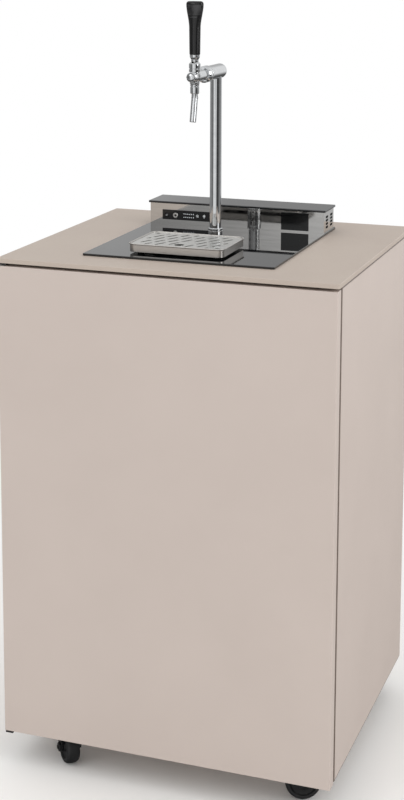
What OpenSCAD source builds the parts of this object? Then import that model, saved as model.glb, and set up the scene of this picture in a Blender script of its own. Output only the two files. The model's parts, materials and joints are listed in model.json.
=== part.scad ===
// Draft beer dispenser: a wheeled bar cabinet with a drop-in cooler, a tap tower and a drip tray.
// Millimetres, +Z up, front towards -Y. The origin is on the floor under the middle of the counter.

/* [Cabinet] */
// Counter width, left to right
counter_w = 600; // [580:5:700]
// Counter depth, front to back
counter_d = 540; // [520:5:640]
// Counter height above the floor
counter_z = 915; // [880:5:980]
// Counter slab thickness
counter_t = 8; // [6:1:14]
// How far the panels stand in from the counter's edge
panel_inset = 3; // [2:1:8]
// Thickness of the side panels, rail and base board
panel_t = 16; // [16:1:20]
// Back panel thickness
back_t = 8; // [5:1:12]
// Height of the side panels' bottom edge above the floor
skirt_z = 60; // [56:1:80]
// Height of the base board's underside above the panels' bottom edge
base_rise = 26; // [24:1:40]
// Height of the front rail
rail_h = 40; // [30:1:60]

/* [Door] */
// Door thickness
door_t = 22; // [20:1:26]
// Gap between the door and the side panels' front edges
door_gap = 3.5; // [3:0.5:6]
// Shadow gap between the counter and the door
shadow_gap = 5; // [5:0.5:8]
// Hinge pin's distance from the door's left edge
pin_edge = 8; // [7:0.5:8.5]
// Hinge pin's distance from the door's back face
pin_back = 14; // [12:0.5:15]
// Hinge pin radius
pin_r = 3; // [2:0.5:3.5]
// Hinge leaf thickness
leaf_t = 3; // [2:0.5:4]
// Hinge leaf width
leaf_w = 14; // [11:1:15]
// Running clearance round pins and shafts
run_gap = 0.05; // [0.03:0.01:0.09]
// Clearance between pieces that pass each other
free_gap = 0.4; // [0.3:0.05:0.6]

/* [Casters] */
// Wheel radius
wheel_r = 31; // [28:0.5:33]
// Wheel width
wheel_w = 24; // [20:1:26]
// Wheel axle's distance from the swivel axis
trail = 25; // [22:1:26]
// Swivel axis's distance from the middle, left and right
caster_x = 208; // [180:2:225]
// Swivel axis's distance from the door's front face
caster_in = 62; // [62:1:90]
// Turn of the front left caster
turn_fl = -49; // [-180:1:180]
// Turn of the front right caster
turn_fr = 21; // [-180:1:180]
// Turn of the rear left caster
turn_bl = 150; // [-180:1:180]
// Turn of the rear right caster
turn_br = 35; // [-180:1:180]

/* [Glass plate and rear box] */
// Glass plate width
plate_w = 342; // [340:2:400]
// Glass plate depth
plate_d = 396; // [380:2:420]
// Glass plate thickness
plate_t = 4; // [3:0.5:8]
// Rear box width
box_w = 338; // [320:2:340]
// Rear box depth
box_d = 68; // [60:1:90]
// Rear box height
box_h = 39; // [38:1:60]
// Sheet metal thickness
sheet = 1.5; // [1:0.1:2]
// Lid overhang round the rear box
lid_over = 3; // [1:0.5:5]
// Lid thickness
lid_t = 4; // [3:0.5:8]
// Control strip width
strip_w = 104; // [98:1:120]
// Control strip height
strip_h = 18.5; // [16:0.5:20]
// Middle of the control strip, from the middle of the box
strip_x = -92.5; // [-98:0.5:-80]
// Badge plate width
badge_w = 52; // [30:1:60]
// Badge plate height
badge_h = 33; // [20:0.5:34]
// Middle of the badge plate, from the middle of the box
badge_x = 114; // [80:0.5:130]

/* [Cooler] */
// Casing width
case_w = 300; // [296:1:310]
// Casing depth
case_d = 340; // [334:1:346]
// Casing height below the glass plate
case_h = 330; // [315:5:380]
// Compressor radius
comp_r = 58; // [45:1:60]
// Condenser width
cond_w = 230; // [210:2:250]
// Condenser height
cond_h = 250; // [230:2:270]
// Fan radius
fan_r = 84; // [60:1:88]
// Beer line radius
line_r = 4.75; // [3:0.25:5.5]

/* [Tower] */
// Column radius
col_r = 10.4; // [10:0.1:12]
// Column's place, front to back
col_y = 5; // [-20:1:30]
// Height of the tap's axis above the glass plate
col_h = 300; // [260:5:380]
// Column base ring radius
ring_r = 13; // [12.5:0.5:20]
// Column base ring height
ring_h = 21; // [8:1:25]
// Column head radius
head_r = 13; // [13:0.5:16]
// Tap's distance in front of the column
tap_reach = 112; // [105:1:130]
// Shank nut radius
nut_r = 14.5; // [13.5:0.5:18]

/* [Tap] */
// Tap body radius
tap_r = 10; // [9.5:0.1:12]
// Valve bore radius
valve_r = 6; // [5.5:0.1:6.5]
// Height of the lever's pivot above the tap's axis
pivot_h = 15; // [14:0.5:16]
// Radius of the collar nut's dome round the pivot
dome_r = 12; // [11:0.25:13]
// Lever stem radius
stem_r = 3; // [2.5:0.1:3.2]
// How far the handle tilts forward to pour
tilt = 30; // [15:1:30]
// Handle length
handle_h = 90; // [60:1:130]
// Handle width at the top
handle_w = 31; // [24:0.5:40]
// Handle thickness at the top
handle_d = 17; // [14:0.5:22]
// Spout radius
spout_r = 5.6; // [4.5:0.1:6.2]
// Spout length below the nozzle
spout_len = 42; // [30:1:70]
// Forward lean of the spout
spout_lean = 13; // [0:1:20]

/* [Drip tray] */
// Tray width
tray_w = 172; // [150:1:200]
// Tray depth
tray_d = 124; // [110:1:140]
// Height of the tray's rim above the glass plate
tray_h = 17; // [14:0.5:30]
// Tray corner radius
tray_corner = 12; // [6:1:20]
// Tray's place to the side of the tap
tray_x = -12; // [-40:1:40]
// Tray's place in front of the tap
tray_fore = 4; // [0:1:12]
// Grid slot length
slot_len = 27; // [16:1:28]
// Grid slot width
slot_w = 4.4; // [3:0.2:6]
// Lean of the grid's slot lines from the tray's front edge
slot_lean = 67; // [45:1:80]
// Distance between slots along a line
slot_step = 33; // [32:1:44]
// Distance between slot lines
slot_row = 16.7; // [12:0.1:24]

/* [Hidden] */
$fa = 4;
$fs = 0.6;
laminate = [0.76, 0.72, 0.69];
dark = [0.2, 0.17, 0.15];
steel = [0.78, 0.79, 0.8];
chrome = [0.86, 0.87, 0.88];
black = [0.06, 0.06, 0.065];
glass = [0.03, 0.03, 0.035];
zinc = [0.66, 0.68, 0.7];
white = [0.88, 0.88, 0.86];

front_y = -counter_d / 2;
under_z = counter_z - counter_t;
side_x = counter_w / 2 - panel_inset;
inner_x = side_x - panel_t;
door_back = front_y + door_t;
panel_front = door_back + door_gap;
panel_back = counter_d / 2 - panel_inset;
door_top = under_z - shadow_gap;
door_bottom = skirt_z + 1;
pin_x = -side_x + pin_edge;
pin_y = door_back - pin_back;
bush_r = pin_r + 2;
bush_h = 16;
leaf_seat = 40;
back_slot = 120;
air_slot_h = 8;
base_z = skirt_z + base_rise;
base_top = base_z + panel_t;
inlet_z = base_top + 50;
inlet_w = 28;
inlet_h = 20;
inlet_d = back_t + 12;
rail_z = under_z - rail_h;

race_z = base_z - 8;
fork_z = race_z - free_gap;
fork_t = 4;
king_r = 5;
axle_r = 4;
leg_y = wheel_w / 2 + 1.5;
leg_t = 3;
caster_y = front_y + caster_in;

plate_top = counter_z + plate_t;
box_back = plate_d / 2 - 9;
box_front = box_back - box_d;
box_y = box_back - box_d / 2;
lid_z = plate_top + box_h;
vent_step = 6.3;
vent_len = 17;
vent_z = plate_top + box_h / 2 - 1 - 1.5 * vent_step;
strip_t = 1.2;
strip_z = plate_top + 8.5 + strip_h / 2;
window_edge = 1.2;
button_z = strip_z - 0.9;
power_r = 4.2;
set_r = 5;
lamp_step = 3.8;
flange = 0.9;
power_x = strip_x - 43.5;
set_x = strip_x - 26;
lamp_y = box_front - strip_t;
board_y = box_front + sheet + 6.5;
cable_x = strip_x;

cut_w = case_w + 14;
cut_d = case_d + 14;
case_z = counter_z - case_h;
floor_z = case_z + sheet + 2;
outlet_slot = 90;
intake_slot = 100;
comp_w = 2 * comp_r + 24;
comp_x = -case_w / 2 + sheet + 6.5 + comp_w / 2;
comp_in = 98;
comp_y = -case_d / 2 + comp_in;
comp_h = 2.2 * comp_r;
foot_h = 12;
ins_t = 18;
ins_w = case_w - comp_w - 24;
ins_d = 150;
block_x = case_w / 2 - 10 - ins_w / 2;
block_y = comp_y;
block_z = floor_z + ins_t;
block_w = ins_w - 2 * ins_t;
block_d = ins_d - 2 * ins_t;
block_h = 210;
inlet_r = 8;
cond_d = 40;
cond_y = case_d / 2 - cond_d - 8;
fin_edge = 12;
pipe_edge = 30;
shroud_t = 2;
shroud_d = 16;
fan_y = cond_y - shroud_t;
motor_r = 28;
motor_len = 30;
motor_gap = 12;
rotor_d = 16;
rotor_y = fan_y - 4 - rotor_d;
motor_y = rotor_y - motor_gap - motor_len;
blade_arc = 34;
blade_w = 26;
fan_z = floor_z + cond_h / 2;
hub_r = 24;
shaft_r = 3;
bend_r = 22;
line_z = counter_z - 35;

seat_gap = 0.05;
head_z = plate_top + col_h;
col_bore = 8;
stub_r = 9.4;
tap_y = col_y - tap_reach;
nut_len = 20;
head_front = tap_y + 63;
head_rear = col_y + 25;
head_bore = 9;
nut_y = head_front - nut_len;
tail_r = head_bore - 0.1;
tail_y = head_front + 14;
turn_r = 14;

neck_r = 8;
collar_r = tap_r;
collar_z = 8.3;
tip_r = 2.4;
arm_r = 2.2;
ball_r = 5;
ferrule_h = 10;
ferrule_r = 8.7;
cap_r = 8;
grip_r = 8.8;
grip_slope = 0.6;
flare_from = 0.45;
handle_round = 5;
slice_t = 0.05;
ferrule_z = pivot_h + dome_r + free_gap;
handle_z = ferrule_z + ferrule_h;
flow_r = 3.7;
flow_z = -8.6;
flow_turn = 28;
nozzle_r = 7.8;
nozzle_z = -12.5;
nozzle_h = 16.5;
spout_z = nozzle_z - nozzle_h;
seat_y = 14;

tray_wall = 1;
tray_y = tap_y - tray_fore;
tray_rim = plate_top + tray_h;
tray_floor = plate_top + 3.2;
grid_t = 1.2;
grid_z = tray_rim - 1.8;
grid_w = tray_w - 2 * tray_wall - 2 - 2 * free_gap;
grid_d = tray_d - 2 * tray_wall - 2 - 2 * free_gap;
rest_z = grid_z - free_gap;
finger_r = 8.5;
finger_y = -grid_d / 2 + 20;

// Shared shapes

module rounded(w, d, r) {
  square([w - 2 * r, d], center = true);
  square([w, d - 2 * r], center = true);
  for (x = [-1, 1])
    for (y = [-1, 1])
      translate([x * (w / 2 - r), y * (d / 2 - r)]) circle(r = r);
}

module oblong(len, w) {
  square([len - w, w], center = true);
  for (x = [-1, 1])
    translate([x * (len - w) / 2, 0]) circle(d = w);
}

module rod_y(r, y0, y1) {
  translate([0, y1, 0]) rotate([90, 0, 0]) cylinder(r = r, h = y1 - y0);
}

module rod_x(r, x0, x1) {
  translate([x0, 0, 0]) rotate([0, 90, 0]) cylinder(r = r, h = x1 - x0);
}

module ring(outer, inner, h) {
  difference() {
    cylinder(r = outer, h = h);
    translate([0, 0, -1]) cylinder(r = inner, h = h + 2);
  }
}

// Cabinet

module counter_top() {
  color(laminate)
    translate([0, 0, under_z])
      linear_extrude(counter_t)
        difference() {
          rounded(counter_w, counter_d, 2);
          square([cut_w, cut_d], center = true);
        }
}

module side_panel() {
  translate([inner_x, panel_front, skirt_z])
    cube([panel_t, panel_back - panel_front, under_z - skirt_z]);
}

module left_side_panel() {
  color(laminate)
    difference() {
      mirror([1, 0, 0]) side_panel();
      // seat of the upper hinge leaf
      translate([-side_x - 1, panel_front - 1, under_z - leaf_t])
        cube([panel_t + 2, leaf_seat + 3, leaf_t + 1]);
    }
}

module right_side_panel() {
  color(laminate) side_panel();
}

module back_panel() {
  color(laminate)
    difference() {
      translate([-inner_x, panel_back - back_t, skirt_z])
        cube([2 * inner_x, back_t, under_z - skirt_z]);
      // air slots behind the condenser
      for (x = [-1, 1])
        for (row = [0:7])
          translate([x * 75, panel_back + 1, case_z + 70 + row * 24])
            rotate([90, 0, 0]) linear_extrude(back_t + 2) oblong(back_slot, air_slot_h);
      // seat of the power inlet
      translate([-inlet_w / 2, panel_back - back_t - 1, inlet_z - inlet_h / 2])
        cube([inlet_w, back_t + 2, inlet_h]);
    }
}

module base_board() {
  color(laminate)
    translate([-inner_x, panel_front, base_z])
      cube([2 * inner_x, panel_back - back_t - panel_front, panel_t]);
}

module front_rail() {
  color(dark)
    translate([-inner_x, panel_front, rail_z]) cube([2 * inner_x, panel_t, rail_h]);
}

module leaf(z, pin_z) {
  translate([pin_x - leaf_w / 2, pin_y - leaf_w / 2, z])
    cube([leaf_w, panel_front + leaf_seat - pin_y + leaf_w / 2, leaf_t]);
  translate([pin_x, pin_y, pin_z]) cylinder(r = pin_r, h = bush_h);
}

module hinge_leaves() {
  color(dark) {
    leaf(under_z - leaf_t, under_z - leaf_t - bush_h);
    leaf(skirt_z - leaf_t, skirt_z);
  }
}

module door_panel() {
  color(laminate)
    difference() {
      translate([0, front_y + door_t / 2, door_bottom])
        linear_extrude(door_top - door_bottom) rounded(2 * side_x, door_t, 1.5);
      for (z = [door_bottom - 1, door_top - bush_h])
        translate([pin_x, pin_y, z]) cylinder(r = bush_r, h = bush_h + 1);
    }
}

module hinge_bushes() {
  color(white)
    for (z = [door_bottom, door_top - bush_h])
      translate([pin_x, pin_y, z]) ring(bush_r, pin_r + run_gap, bush_h);
}

module latch_body() {
  color(white)
    difference() {
      translate([inner_x - 50, panel_front + 2, rail_z - 14]) cube([14, 46, 14]);
      translate([inner_x - 43, 0, rail_z - 7]) rod_y(3.5 + run_gap, panel_front, panel_front + 40);
    }
}

module latch_plunger() {
  color(dark)
    translate([inner_x - 43, 0, rail_z - 7]) {
      rod_y(3.5, door_back + 2.4, panel_front + 34);
      rod_y(5, door_back + free_gap, door_back + 2.4);
    }
}

// Casters

module at_caster(x, y, turn) {
  translate([x, y, 0]) rotate([0, 0, turn]) children();
}

module caster_plates() {
  color(black)
    for (x = [-caster_x, caster_x])
      for (y = [caster_y, -caster_y])
        translate([x, y, 0]) {
          translate([0, 0, base_z - 3]) linear_extrude(3) rounded(54, 54, 6);
          translate([0, 0, race_z]) cylinder(r = 17, h = 5);
          translate([0, 0, fork_z - fork_t - 1]) cylinder(r = king_r, h = 8);
          translate([0, 0, fork_z - fork_t - free_gap - 3.6]) cylinder(r = 8, h = 3.6);
        }
}

module fork_leg() {
  rotate([90, 0, 0])
    linear_extrude(leg_t) {
      polygon([[-17, fork_z], [-17, fork_z - 9], [trail - 9, wheel_r - 2], [trail + 9, wheel_r + 2],
        [30, fork_z - 9], [26, fork_z]]);
      translate([trail, wheel_r]) circle(r = 9);
    }
}

module fork() {
  difference() {
    union() {
      translate([-17, -leg_y - leg_t, fork_z - fork_t]) cube([43, 2 * (leg_y + leg_t), fork_t]);
      translate([0, leg_y + leg_t, 0]) fork_leg();
      translate([0, -leg_y, 0]) fork_leg();
      // axle with its head and nut
      translate([trail, 0, wheel_r]) {
        rod_y(axle_r, -leg_y, leg_y);
        rod_y(7, leg_y + leg_t, leg_y + leg_t + 4);
        rod_y(7, -leg_y - leg_t - 4, -leg_y - leg_t);
      }
    }
    translate([0, 0, fork_z - fork_t - 1]) cylinder(r = king_r + run_gap, h = fork_t + 2);
  }
}

module wheel() {
  translate([trail, 0, wheel_r])
    rotate([90, 0, 0])
      rotate_extrude()
        translate([0, -wheel_w / 2])
          difference() {
            union() {
              translate([axle_r + run_gap, 0]) square([6, wheel_w]);
              translate([axle_r, 4]) square([wheel_r - axle_r - 5, wheel_w - 8]);
              translate([wheel_r - 9, 0]) square([5, wheel_w]);
              translate([wheel_r - 5, 4]) square([5, wheel_w - 8]);
              for (y = [4, wheel_w - 4])
                translate([wheel_r - 4, y]) circle(r = 4);
            }
            translate([0, -1]) square([axle_r + run_gap, wheel_w + 2]);
          }
}

module fork_fl() {
  color(black) at_caster(-caster_x, caster_y, turn_fl) fork();
}

module fork_fr() {
  color(black) at_caster(caster_x, caster_y, turn_fr) fork();
}

module fork_bl() {
  color(black) at_caster(-caster_x, -caster_y, turn_bl) fork();
}

module fork_br() {
  color(black) at_caster(caster_x, -caster_y, turn_br) fork();
}

module wheel_fl() {
  color(black) at_caster(-caster_x, caster_y, turn_fl) wheel();
}

module wheel_fr() {
  color(black) at_caster(caster_x, caster_y, turn_fr) wheel();
}

module wheel_bl() {
  color(black) at_caster(-caster_x, -caster_y, turn_bl) wheel();
}

module wheel_br() {
  color(black) at_caster(caster_x, -caster_y, turn_br) wheel();
}

// Glass plate and rear box

module glass_plate() {
  color(glass)
    translate([0, 0, counter_z])
      linear_extrude(plate_t)
        difference() {
          rounded(plate_w, plate_d, 3);
          translate([0, col_y]) circle(r = stub_r + 0.2);
          // cable way into the rear box
          translate([cable_x, box_front + 35]) square([50, 14], center = true);
        }
}

module box_shell() {
  color(chrome)
    difference() {
      translate([-box_w / 2, box_front, plate_top]) cube([box_w, box_d, box_h]);
      translate([-box_w / 2 + sheet, box_front + sheet, plate_top - 1])
        cube([box_w - 2 * sheet, box_d - 2 * sheet, box_h + 1 - sheet]);
      // opening under the lid, with a flange all round
      translate([-box_w / 2 + 10, box_front + 10, plate_top + box_h - 5])
        cube([box_w - 20, box_d - 20, 10]);
      // window behind the control strip
      translate([strip_x - strip_w / 2 + 3, box_front - 1, strip_z - strip_h / 2 + window_edge])
        cube([strip_w - 6, sheet + 2, strip_h - 2 * window_edge]);
      // air slots in both ends
      for (side = [0, 1])
        mirror([side, 0, 0])
          for (y = [-0.18, 0.27])
            for (row = [0:3])
              translate([box_w / 2 - sheet - 1, box_y + y * box_d, vent_z + row * vent_step])
                rotate([90, 0, 90]) linear_extrude(sheet + 2) oblong(vent_len, 4.2);
    }
}

module box_lid() {
  color(glass)
    translate([0, box_y, lid_z])
      linear_extrude(lid_t) rounded(box_w + 2 * lid_over, box_d + 2 * lid_over, 2);
}

function lamp_spots() = concat(
  [for (i = [0:5]) [strip_x - 9 + i * lamp_step, strip_z - 3.4]],
  [for (i = [0:5]) [strip_x - 9 + i * lamp_step, strip_z + 2.8]],
  [for (i = [0, 1]) [strip_x + 17.5 + i * 13.5, strip_z]]);

module control_strip() {
  color(black)
    difference() {
      translate([strip_x - strip_w / 2, lamp_y, strip_z - strip_h / 2]) cube([strip_w, strip_t, strip_h]);
      translate([power_x, 0, button_z]) rod_y(power_r + free_gap, lamp_y - 1, box_front + 1);
      translate([set_x, 0, button_z]) rod_y(set_r + free_gap, lamp_y - 1, box_front + 1);
      for (p = lamp_spots())
        translate([p[0], 0, p[1]]) rod_y(1, lamp_y - 1, box_front + 1);
    }
}

module push_button(r) {
  difference() {
    union() {
      rod_y(r, lamp_y - 0.8, board_y - 1.8);
      rod_y(r + flange, box_front + free_gap, box_front + free_gap + 1);
    }
    // finger groove round the button's face
    difference() {
      rod_y(r * 0.75, lamp_y - 1, lamp_y - 0.4);
      rod_y(r * 0.5, lamp_y - 2, lamp_y);
    }
  }
}

module power_button() {
  color(dark) translate([power_x, 0, button_z]) push_button(power_r);
}

module set_button() {
  color(steel) translate([set_x, 0, button_z]) push_button(set_r);
}

module lamps() {
  color(white)
    for (p = lamp_spots())
      translate([p[0], 0, p[1]]) rod_y(0.95, lamp_y - 0.2, box_front + 0.6);
}

module control_board() {
  color([0.1, 0.3, 0.15]) {
    translate([strip_x - strip_w / 2 + 1, board_y, strip_z - 10.5]) cube([strip_w - 2, 1.6, 21]);
    for (x = [-1, 1])
      for (z = [-1, 1])
        translate([strip_x + x * (strip_w / 2 - 3.2), 0, strip_z + z * 8.5])
          rod_y(1.8, box_front + sheet, board_y);
  }
}

module badge_plate() {
  color(black)
    translate([badge_x - badge_w / 2, box_front - 1, plate_top + 2.8]) cube([badge_w, 1, badge_h]);
}

// Cooler under the plate

module cooler_casing() {
  color(zinc)
    difference() {
      translate([-case_w / 2, -case_d / 2, case_z]) cube([case_w, case_d, case_h]);
      translate([-case_w / 2 + sheet, -case_d / 2 + sheet, case_z + sheet])
        cube([case_w - 2 * sheet, case_d - 2 * sheet, case_h]);
      translate([-case_w / 2 + 12, -case_d / 2 + 12, case_z - 1]) cube([case_w - 24, case_d - 24, 10]);
      // air outlet behind the condenser
      for (x = [-1, 1])
        for (row = [0:7])
          translate([x * 58, case_d / 2 + 1, floor_z + 40 + row * 24])
            rotate([90, 0, 0]) linear_extrude(sheet + 2) oblong(outlet_slot, air_slot_h);
      // air inlet in both sides
      for (side = [0, 1])
        mirror([side, 0, 0])
          for (row = [0:5])
            translate([case_w / 2 - sheet - 1, 20, floor_z + 60 + row * 20])
              rotate([90, 0, 90]) linear_extrude(sheet + 2) oblong(intake_slot, air_slot_h);
    }
}

module cooler_base() {
  color(zinc)
    difference() {
      translate([-case_w / 2 + sheet + 0.2, -case_d / 2 + sheet + 0.2, case_z + sheet])
        cube([case_w - 2 * sheet - 0.4, case_d - 2 * sheet - 0.4, 2]);
      translate([block_x, block_y, case_z]) cylinder(r = inlet_r + 0.2, h = 10);
    }
}

module foot_spots() {
  for (x = [-1, 1])
    for (y = [-1, 1])
      translate([comp_x + x * (comp_r + 2), comp_y + y * (comp_r - 8), floor_z]) children();
}

module compressor() {
  edge_r = comp_r * 0.5;
  color(black)
    difference() {
      translate([comp_x, comp_y, floor_z + foot_h]) {
        linear_extrude(3) rounded(comp_w, 2 * comp_r + 4, 10);
        translate([0, 0, 2])
          rotate_extrude() {
            square([comp_r - edge_r, comp_h]);
            translate([0, edge_r]) square([comp_r, comp_h - 2 * edge_r]);
            for (z = [edge_r, comp_h - edge_r])
              translate([comp_r - edge_r, z]) circle(r = edge_r);
          }
        // seam flange and service pipes
        translate([0, 0, comp_h * 0.55]) cylinder(r = comp_r + 3, h = 4);
        for (x = [-18, 18])
          translate([x, 0, comp_h - 4]) cylinder(r = 4, h = 28);
      }
      foot_spots() cylinder(r = 5, h = foot_h + 10);
    }
}

module compressor_feet() {
  color(dark)
    foot_spots() {
      cylinder(r = 9, h = foot_h);
      cylinder(r = 4.8, h = foot_h + 5);
    }
}

module condenser() {
  color(zinc)
    translate([0, cond_y, floor_z]) {
      for (x = [-cond_w / 2, cond_w / 2 - 2])
        translate([x, 0, 0]) cube([2, cond_d, cond_h]);
      for (i = [1:18])
        translate([-cond_w / 2 + i * (cond_w - 2) / 19, 0, fin_edge])
          cube([0.8, cond_d, cond_h - 2 * fin_edge]);
      for (y = [0.25, 0.75])
        for (row = [0:5])
          translate([0, y * cond_d, pipe_edge + row * (cond_h - 2 * pipe_edge) / 5])
            rod_x(4, -cond_w / 2 - 4, cond_w / 2 + 4);
    }
}

module fan_shroud() {
  color(black)
    difference() {
      union() {
        translate([-fan_r - 16, fan_y, fan_z - fan_r - 16]) cube([2 * fan_r + 32, shroud_t, 2 * fan_r + 32]);
        translate([0, 0, fan_z]) rod_y(fan_r + 6, fan_y - shroud_d, fan_y + 1);
      }
      translate([0, 0, fan_z]) rod_y(fan_r + 4, fan_y - shroud_d - 1, fan_y + shroud_t + 1);
    }
}

module fan_motor() {
  arm_x = fan_r + 11;
  arm_y = motor_y + motor_len - 8;
  color(black)
    translate([0, 0, fan_z]) {
      rod_y(motor_r, motor_y, motor_y + motor_len);
      rod_y(shaft_r, motor_y + motor_len - 1, rotor_y + rotor_d - 2);
      for (a = [45:90:315])
        rotate([0, a, 0]) {
          translate([0, arm_y, -5]) cube([arm_x, 4, 10]);
          translate([arm_x - 4, arm_y, -5]) cube([4, fan_y - arm_y, 10]);
        }
    }
}

// Curved fan blade, its hollow side towards the condenser
module fan_blade() {
  rotate([90, 0, 90])
    linear_extrude(fan_r - hub_r + 1)
      rotate(-28)
        translate([0, -blade_arc])
          intersection() {
            difference() {
              circle(r = blade_arc + 0.8);
              circle(r = blade_arc - 0.8);
            }
            translate([-blade_w / 2, 0]) square([blade_w, blade_arc + 1]);
          }
}

module fan_rotor() {
  color(dark)
    translate([0, 0, fan_z])
      difference() {
        union() {
          rod_y(hub_r, rotor_y, rotor_y + rotor_d);
          for (i = [0:4])
            rotate([0, i * 72, 0]) translate([hub_r - 3, rotor_y + rotor_d / 2, 0]) fan_blade();
        }
        rod_y(shaft_r + run_gap, rotor_y - 1, rotor_y + rotor_d + 1);
      }
}

module cooling_block() {
  color(steel)
    translate([block_x, block_y, block_z]) {
      translate([-block_w / 2, -block_d / 2, 0]) cube([block_w, block_d, block_h]);
      translate([0, 0, block_h]) cylinder(r = line_r + 3, h = 12);
    }
}

module insulation() {
  color(white)
    difference() {
      translate([block_x - ins_w / 2, block_y - ins_d / 2, floor_z])
        cube([ins_w, ins_d, block_h + 2 * ins_t]);
      translate([block_x - block_w / 2 - 0.1, block_y - block_d / 2 - 0.1, block_z])
        cube([block_w + 0.2, block_d + 0.2, block_h]);
      translate([block_x, block_y, floor_z - 1]) cylinder(r = inlet_r + 0.2, h = ins_t + 2);
      translate([block_x, block_y, block_z + block_h - 1]) cylinder(r = line_r + 3.1, h = ins_t + 2);
    }
}

module beer_inlet() {
  color(steel)
    translate([block_x, block_y, 0])
      difference() {
        union() {
          translate([0, 0, case_z - 22]) cylinder(r = 5, h = 22);
          translate([0, 0, case_z - 8]) cylinder(r = 13, h = 8 + sheet, $fn = 6);
          translate([0, 0, case_z]) cylinder(r = inlet_r, h = block_z - case_z);
        }
        translate([0, 0, case_z - 23]) cylinder(r = 3.5, h = block_z - case_z + 24);
      }
}

// Elbow a little thicker than the line, which enters it by 1 mm at each end
module line_bend(r) {
  rotate_extrude(angle = 90) translate([r, 0]) circle(r = line_r + 0.6);
}

module line_rod(len) {
  translate([0, 0, -1]) cylinder(r = line_r, h = len + 2);
}

module beer_line() {
  dx = -block_x;
  dy = col_y - block_y;
  span = sqrt(dx * dx + dy * dy);
  start_z = block_z + block_h + 13;
  color(white) {
    translate([block_x, block_y, start_z]) line_rod(line_z - bend_r - start_z);
    translate([block_x, block_y, 0])
      rotate([0, 0, atan2(dy, dx)]) {
        translate([bend_r, 0, line_z - bend_r]) rotate([90, 0, 180]) line_bend(bend_r);
        translate([bend_r, 0, line_z]) rotate([0, 90, 0]) line_rod(span - 2 * bend_r);
        translate([span - bend_r, 0, line_z + bend_r]) rotate([90, 90, 0]) line_bend(bend_r);
      }
    translate([0, col_y, line_z + bend_r]) line_rod(head_z - turn_r - line_z - bend_r);
    translate([0, col_y - turn_r, head_z - turn_r]) rotate([90, 0, 90]) line_bend(turn_r);
    translate([0, col_y - turn_r, head_z]) rotate([90, 0, 0]) line_rod(col_y - turn_r - tail_y + 8);
  }
}

module power_inlet() {
  color(black)
    difference() {
      union() {
        translate([-inlet_w / 2 - 6, panel_back, inlet_z - inlet_h / 2 - 5])
          cube([inlet_w + 12, 2, inlet_h + 10]);
        translate([-inlet_w / 2 + 0.2, panel_back - inlet_d, inlet_z - inlet_h / 2 + 0.2])
          cube([inlet_w - 0.4, inlet_d + 1, inlet_h - 0.4]);
      }
      // socket with its three pins left standing
      difference() {
        translate([-inlet_w / 2 + 2, panel_back - inlet_d + 6, inlet_z - inlet_h / 2 + 2])
          cube([inlet_w - 4, inlet_d, inlet_h - 4]);
        for (p = [[-7, -3], [0, 3], [7, -3]])
          translate([p[0] - 1, panel_back - inlet_d, inlet_z + p[1] - 2]) cube([2, inlet_d - 2, 4]);
      }
    }
}

// Tower

module column_tube() {
  color(chrome)
    difference() {
      translate([0, col_y, 0]) {
        translate([0, 0, plate_top]) cylinder(r = col_r, h = head_z - 9.5 - plate_top);
        translate([0, 0, counter_z - 16]) cylinder(r = stub_r, h = 20 + plate_t);
      }
      translate([0, col_y, counter_z - 20]) cylinder(r = col_bore, h = head_z);
    }
}

module column_base() {
  color(chrome)
    translate([0, col_y, plate_top])
      rotate_extrude()
        polygon([[col_r + seat_gap, 0], [ring_r, 0], [ring_r, ring_h - 1.2], [ring_r - 1.2, ring_h],
          [col_r + seat_gap, ring_h]]);
}

module column_nut() {
  color(steel)
    translate([0, col_y, counter_z - 12])
      difference() {
        union() {
          cylinder(r = 17, h = 10, $fn = 6);
          translate([0, 0, 10]) cylinder(r = 20, h = 2);
        }
        translate([0, 0, -1]) cylinder(r = stub_r + seat_gap, h = 14);
      }
}

module column_head() {
  color(chrome)
    difference() {
      translate([0, head_front, head_z])
        rotate([-90, 0, 0])
          rotate_extrude() {
            len = head_rear - head_front;
            edge = head_r * 0.7;
            square([head_r, len - edge]);
            square([head_r - edge, len]);
            intersection() {
              translate([head_r - edge, len - edge]) circle(r = edge);
              square([head_r, len]);
            }
          }
      translate([0, 0, head_z]) rod_y(head_bore, head_front - 1, col_y + 9);
      translate([0, col_y, head_z - 9.5 - head_r]) cylinder(r = col_r + seat_gap, h = head_r);
      translate([0, col_y, head_z - head_r]) cylinder(r = head_bore - 2, h = head_r);
    }
}

module shank_nut() {
  color(chrome)
    translate([0, nut_y, head_z])
      rotate([-90, 0, 0])
        rotate_extrude()
          difference() {
            polygon([[tail_r + seat_gap, 0], [nut_r - 3, 0], [nut_r, 3], [nut_r, nut_len - 1],
              [nut_r - 1, nut_len], [tail_r + seat_gap, nut_len]]);
            translate([nut_r, nut_len - 6]) circle(r = 1);
          }
}

module at_tap() {
  translate([0, tap_y, head_z]) children();
}

// Slot that the lever's arm sweeps below its pivot
module arm_slot() {
  half = arm_r + free_gap;
  lean = half / cos(tilt);
  translate([-half, 0, 0])
    rotate([90, 0, 90])
      linear_extrude(2 * half)
        polygon([[-half, 0], [pivot_h * tan(tilt) + lean, 0], [lean, pivot_h], [-half, pivot_h]]);
}

// Slot that the lever's stem sweeps above its pivot
module stem_slot() {
  half = stem_r + free_gap;
  lean = half / cos(tilt);
  top = dome_r + 4;
  translate([-half, 0, pivot_h])
    rotate([90, 0, 90])
      linear_extrude(2 * half)
        polygon([[half, 0], [half, top], [-top * tan(tilt) - lean, top], [-lean, 0]]);
}

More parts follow.
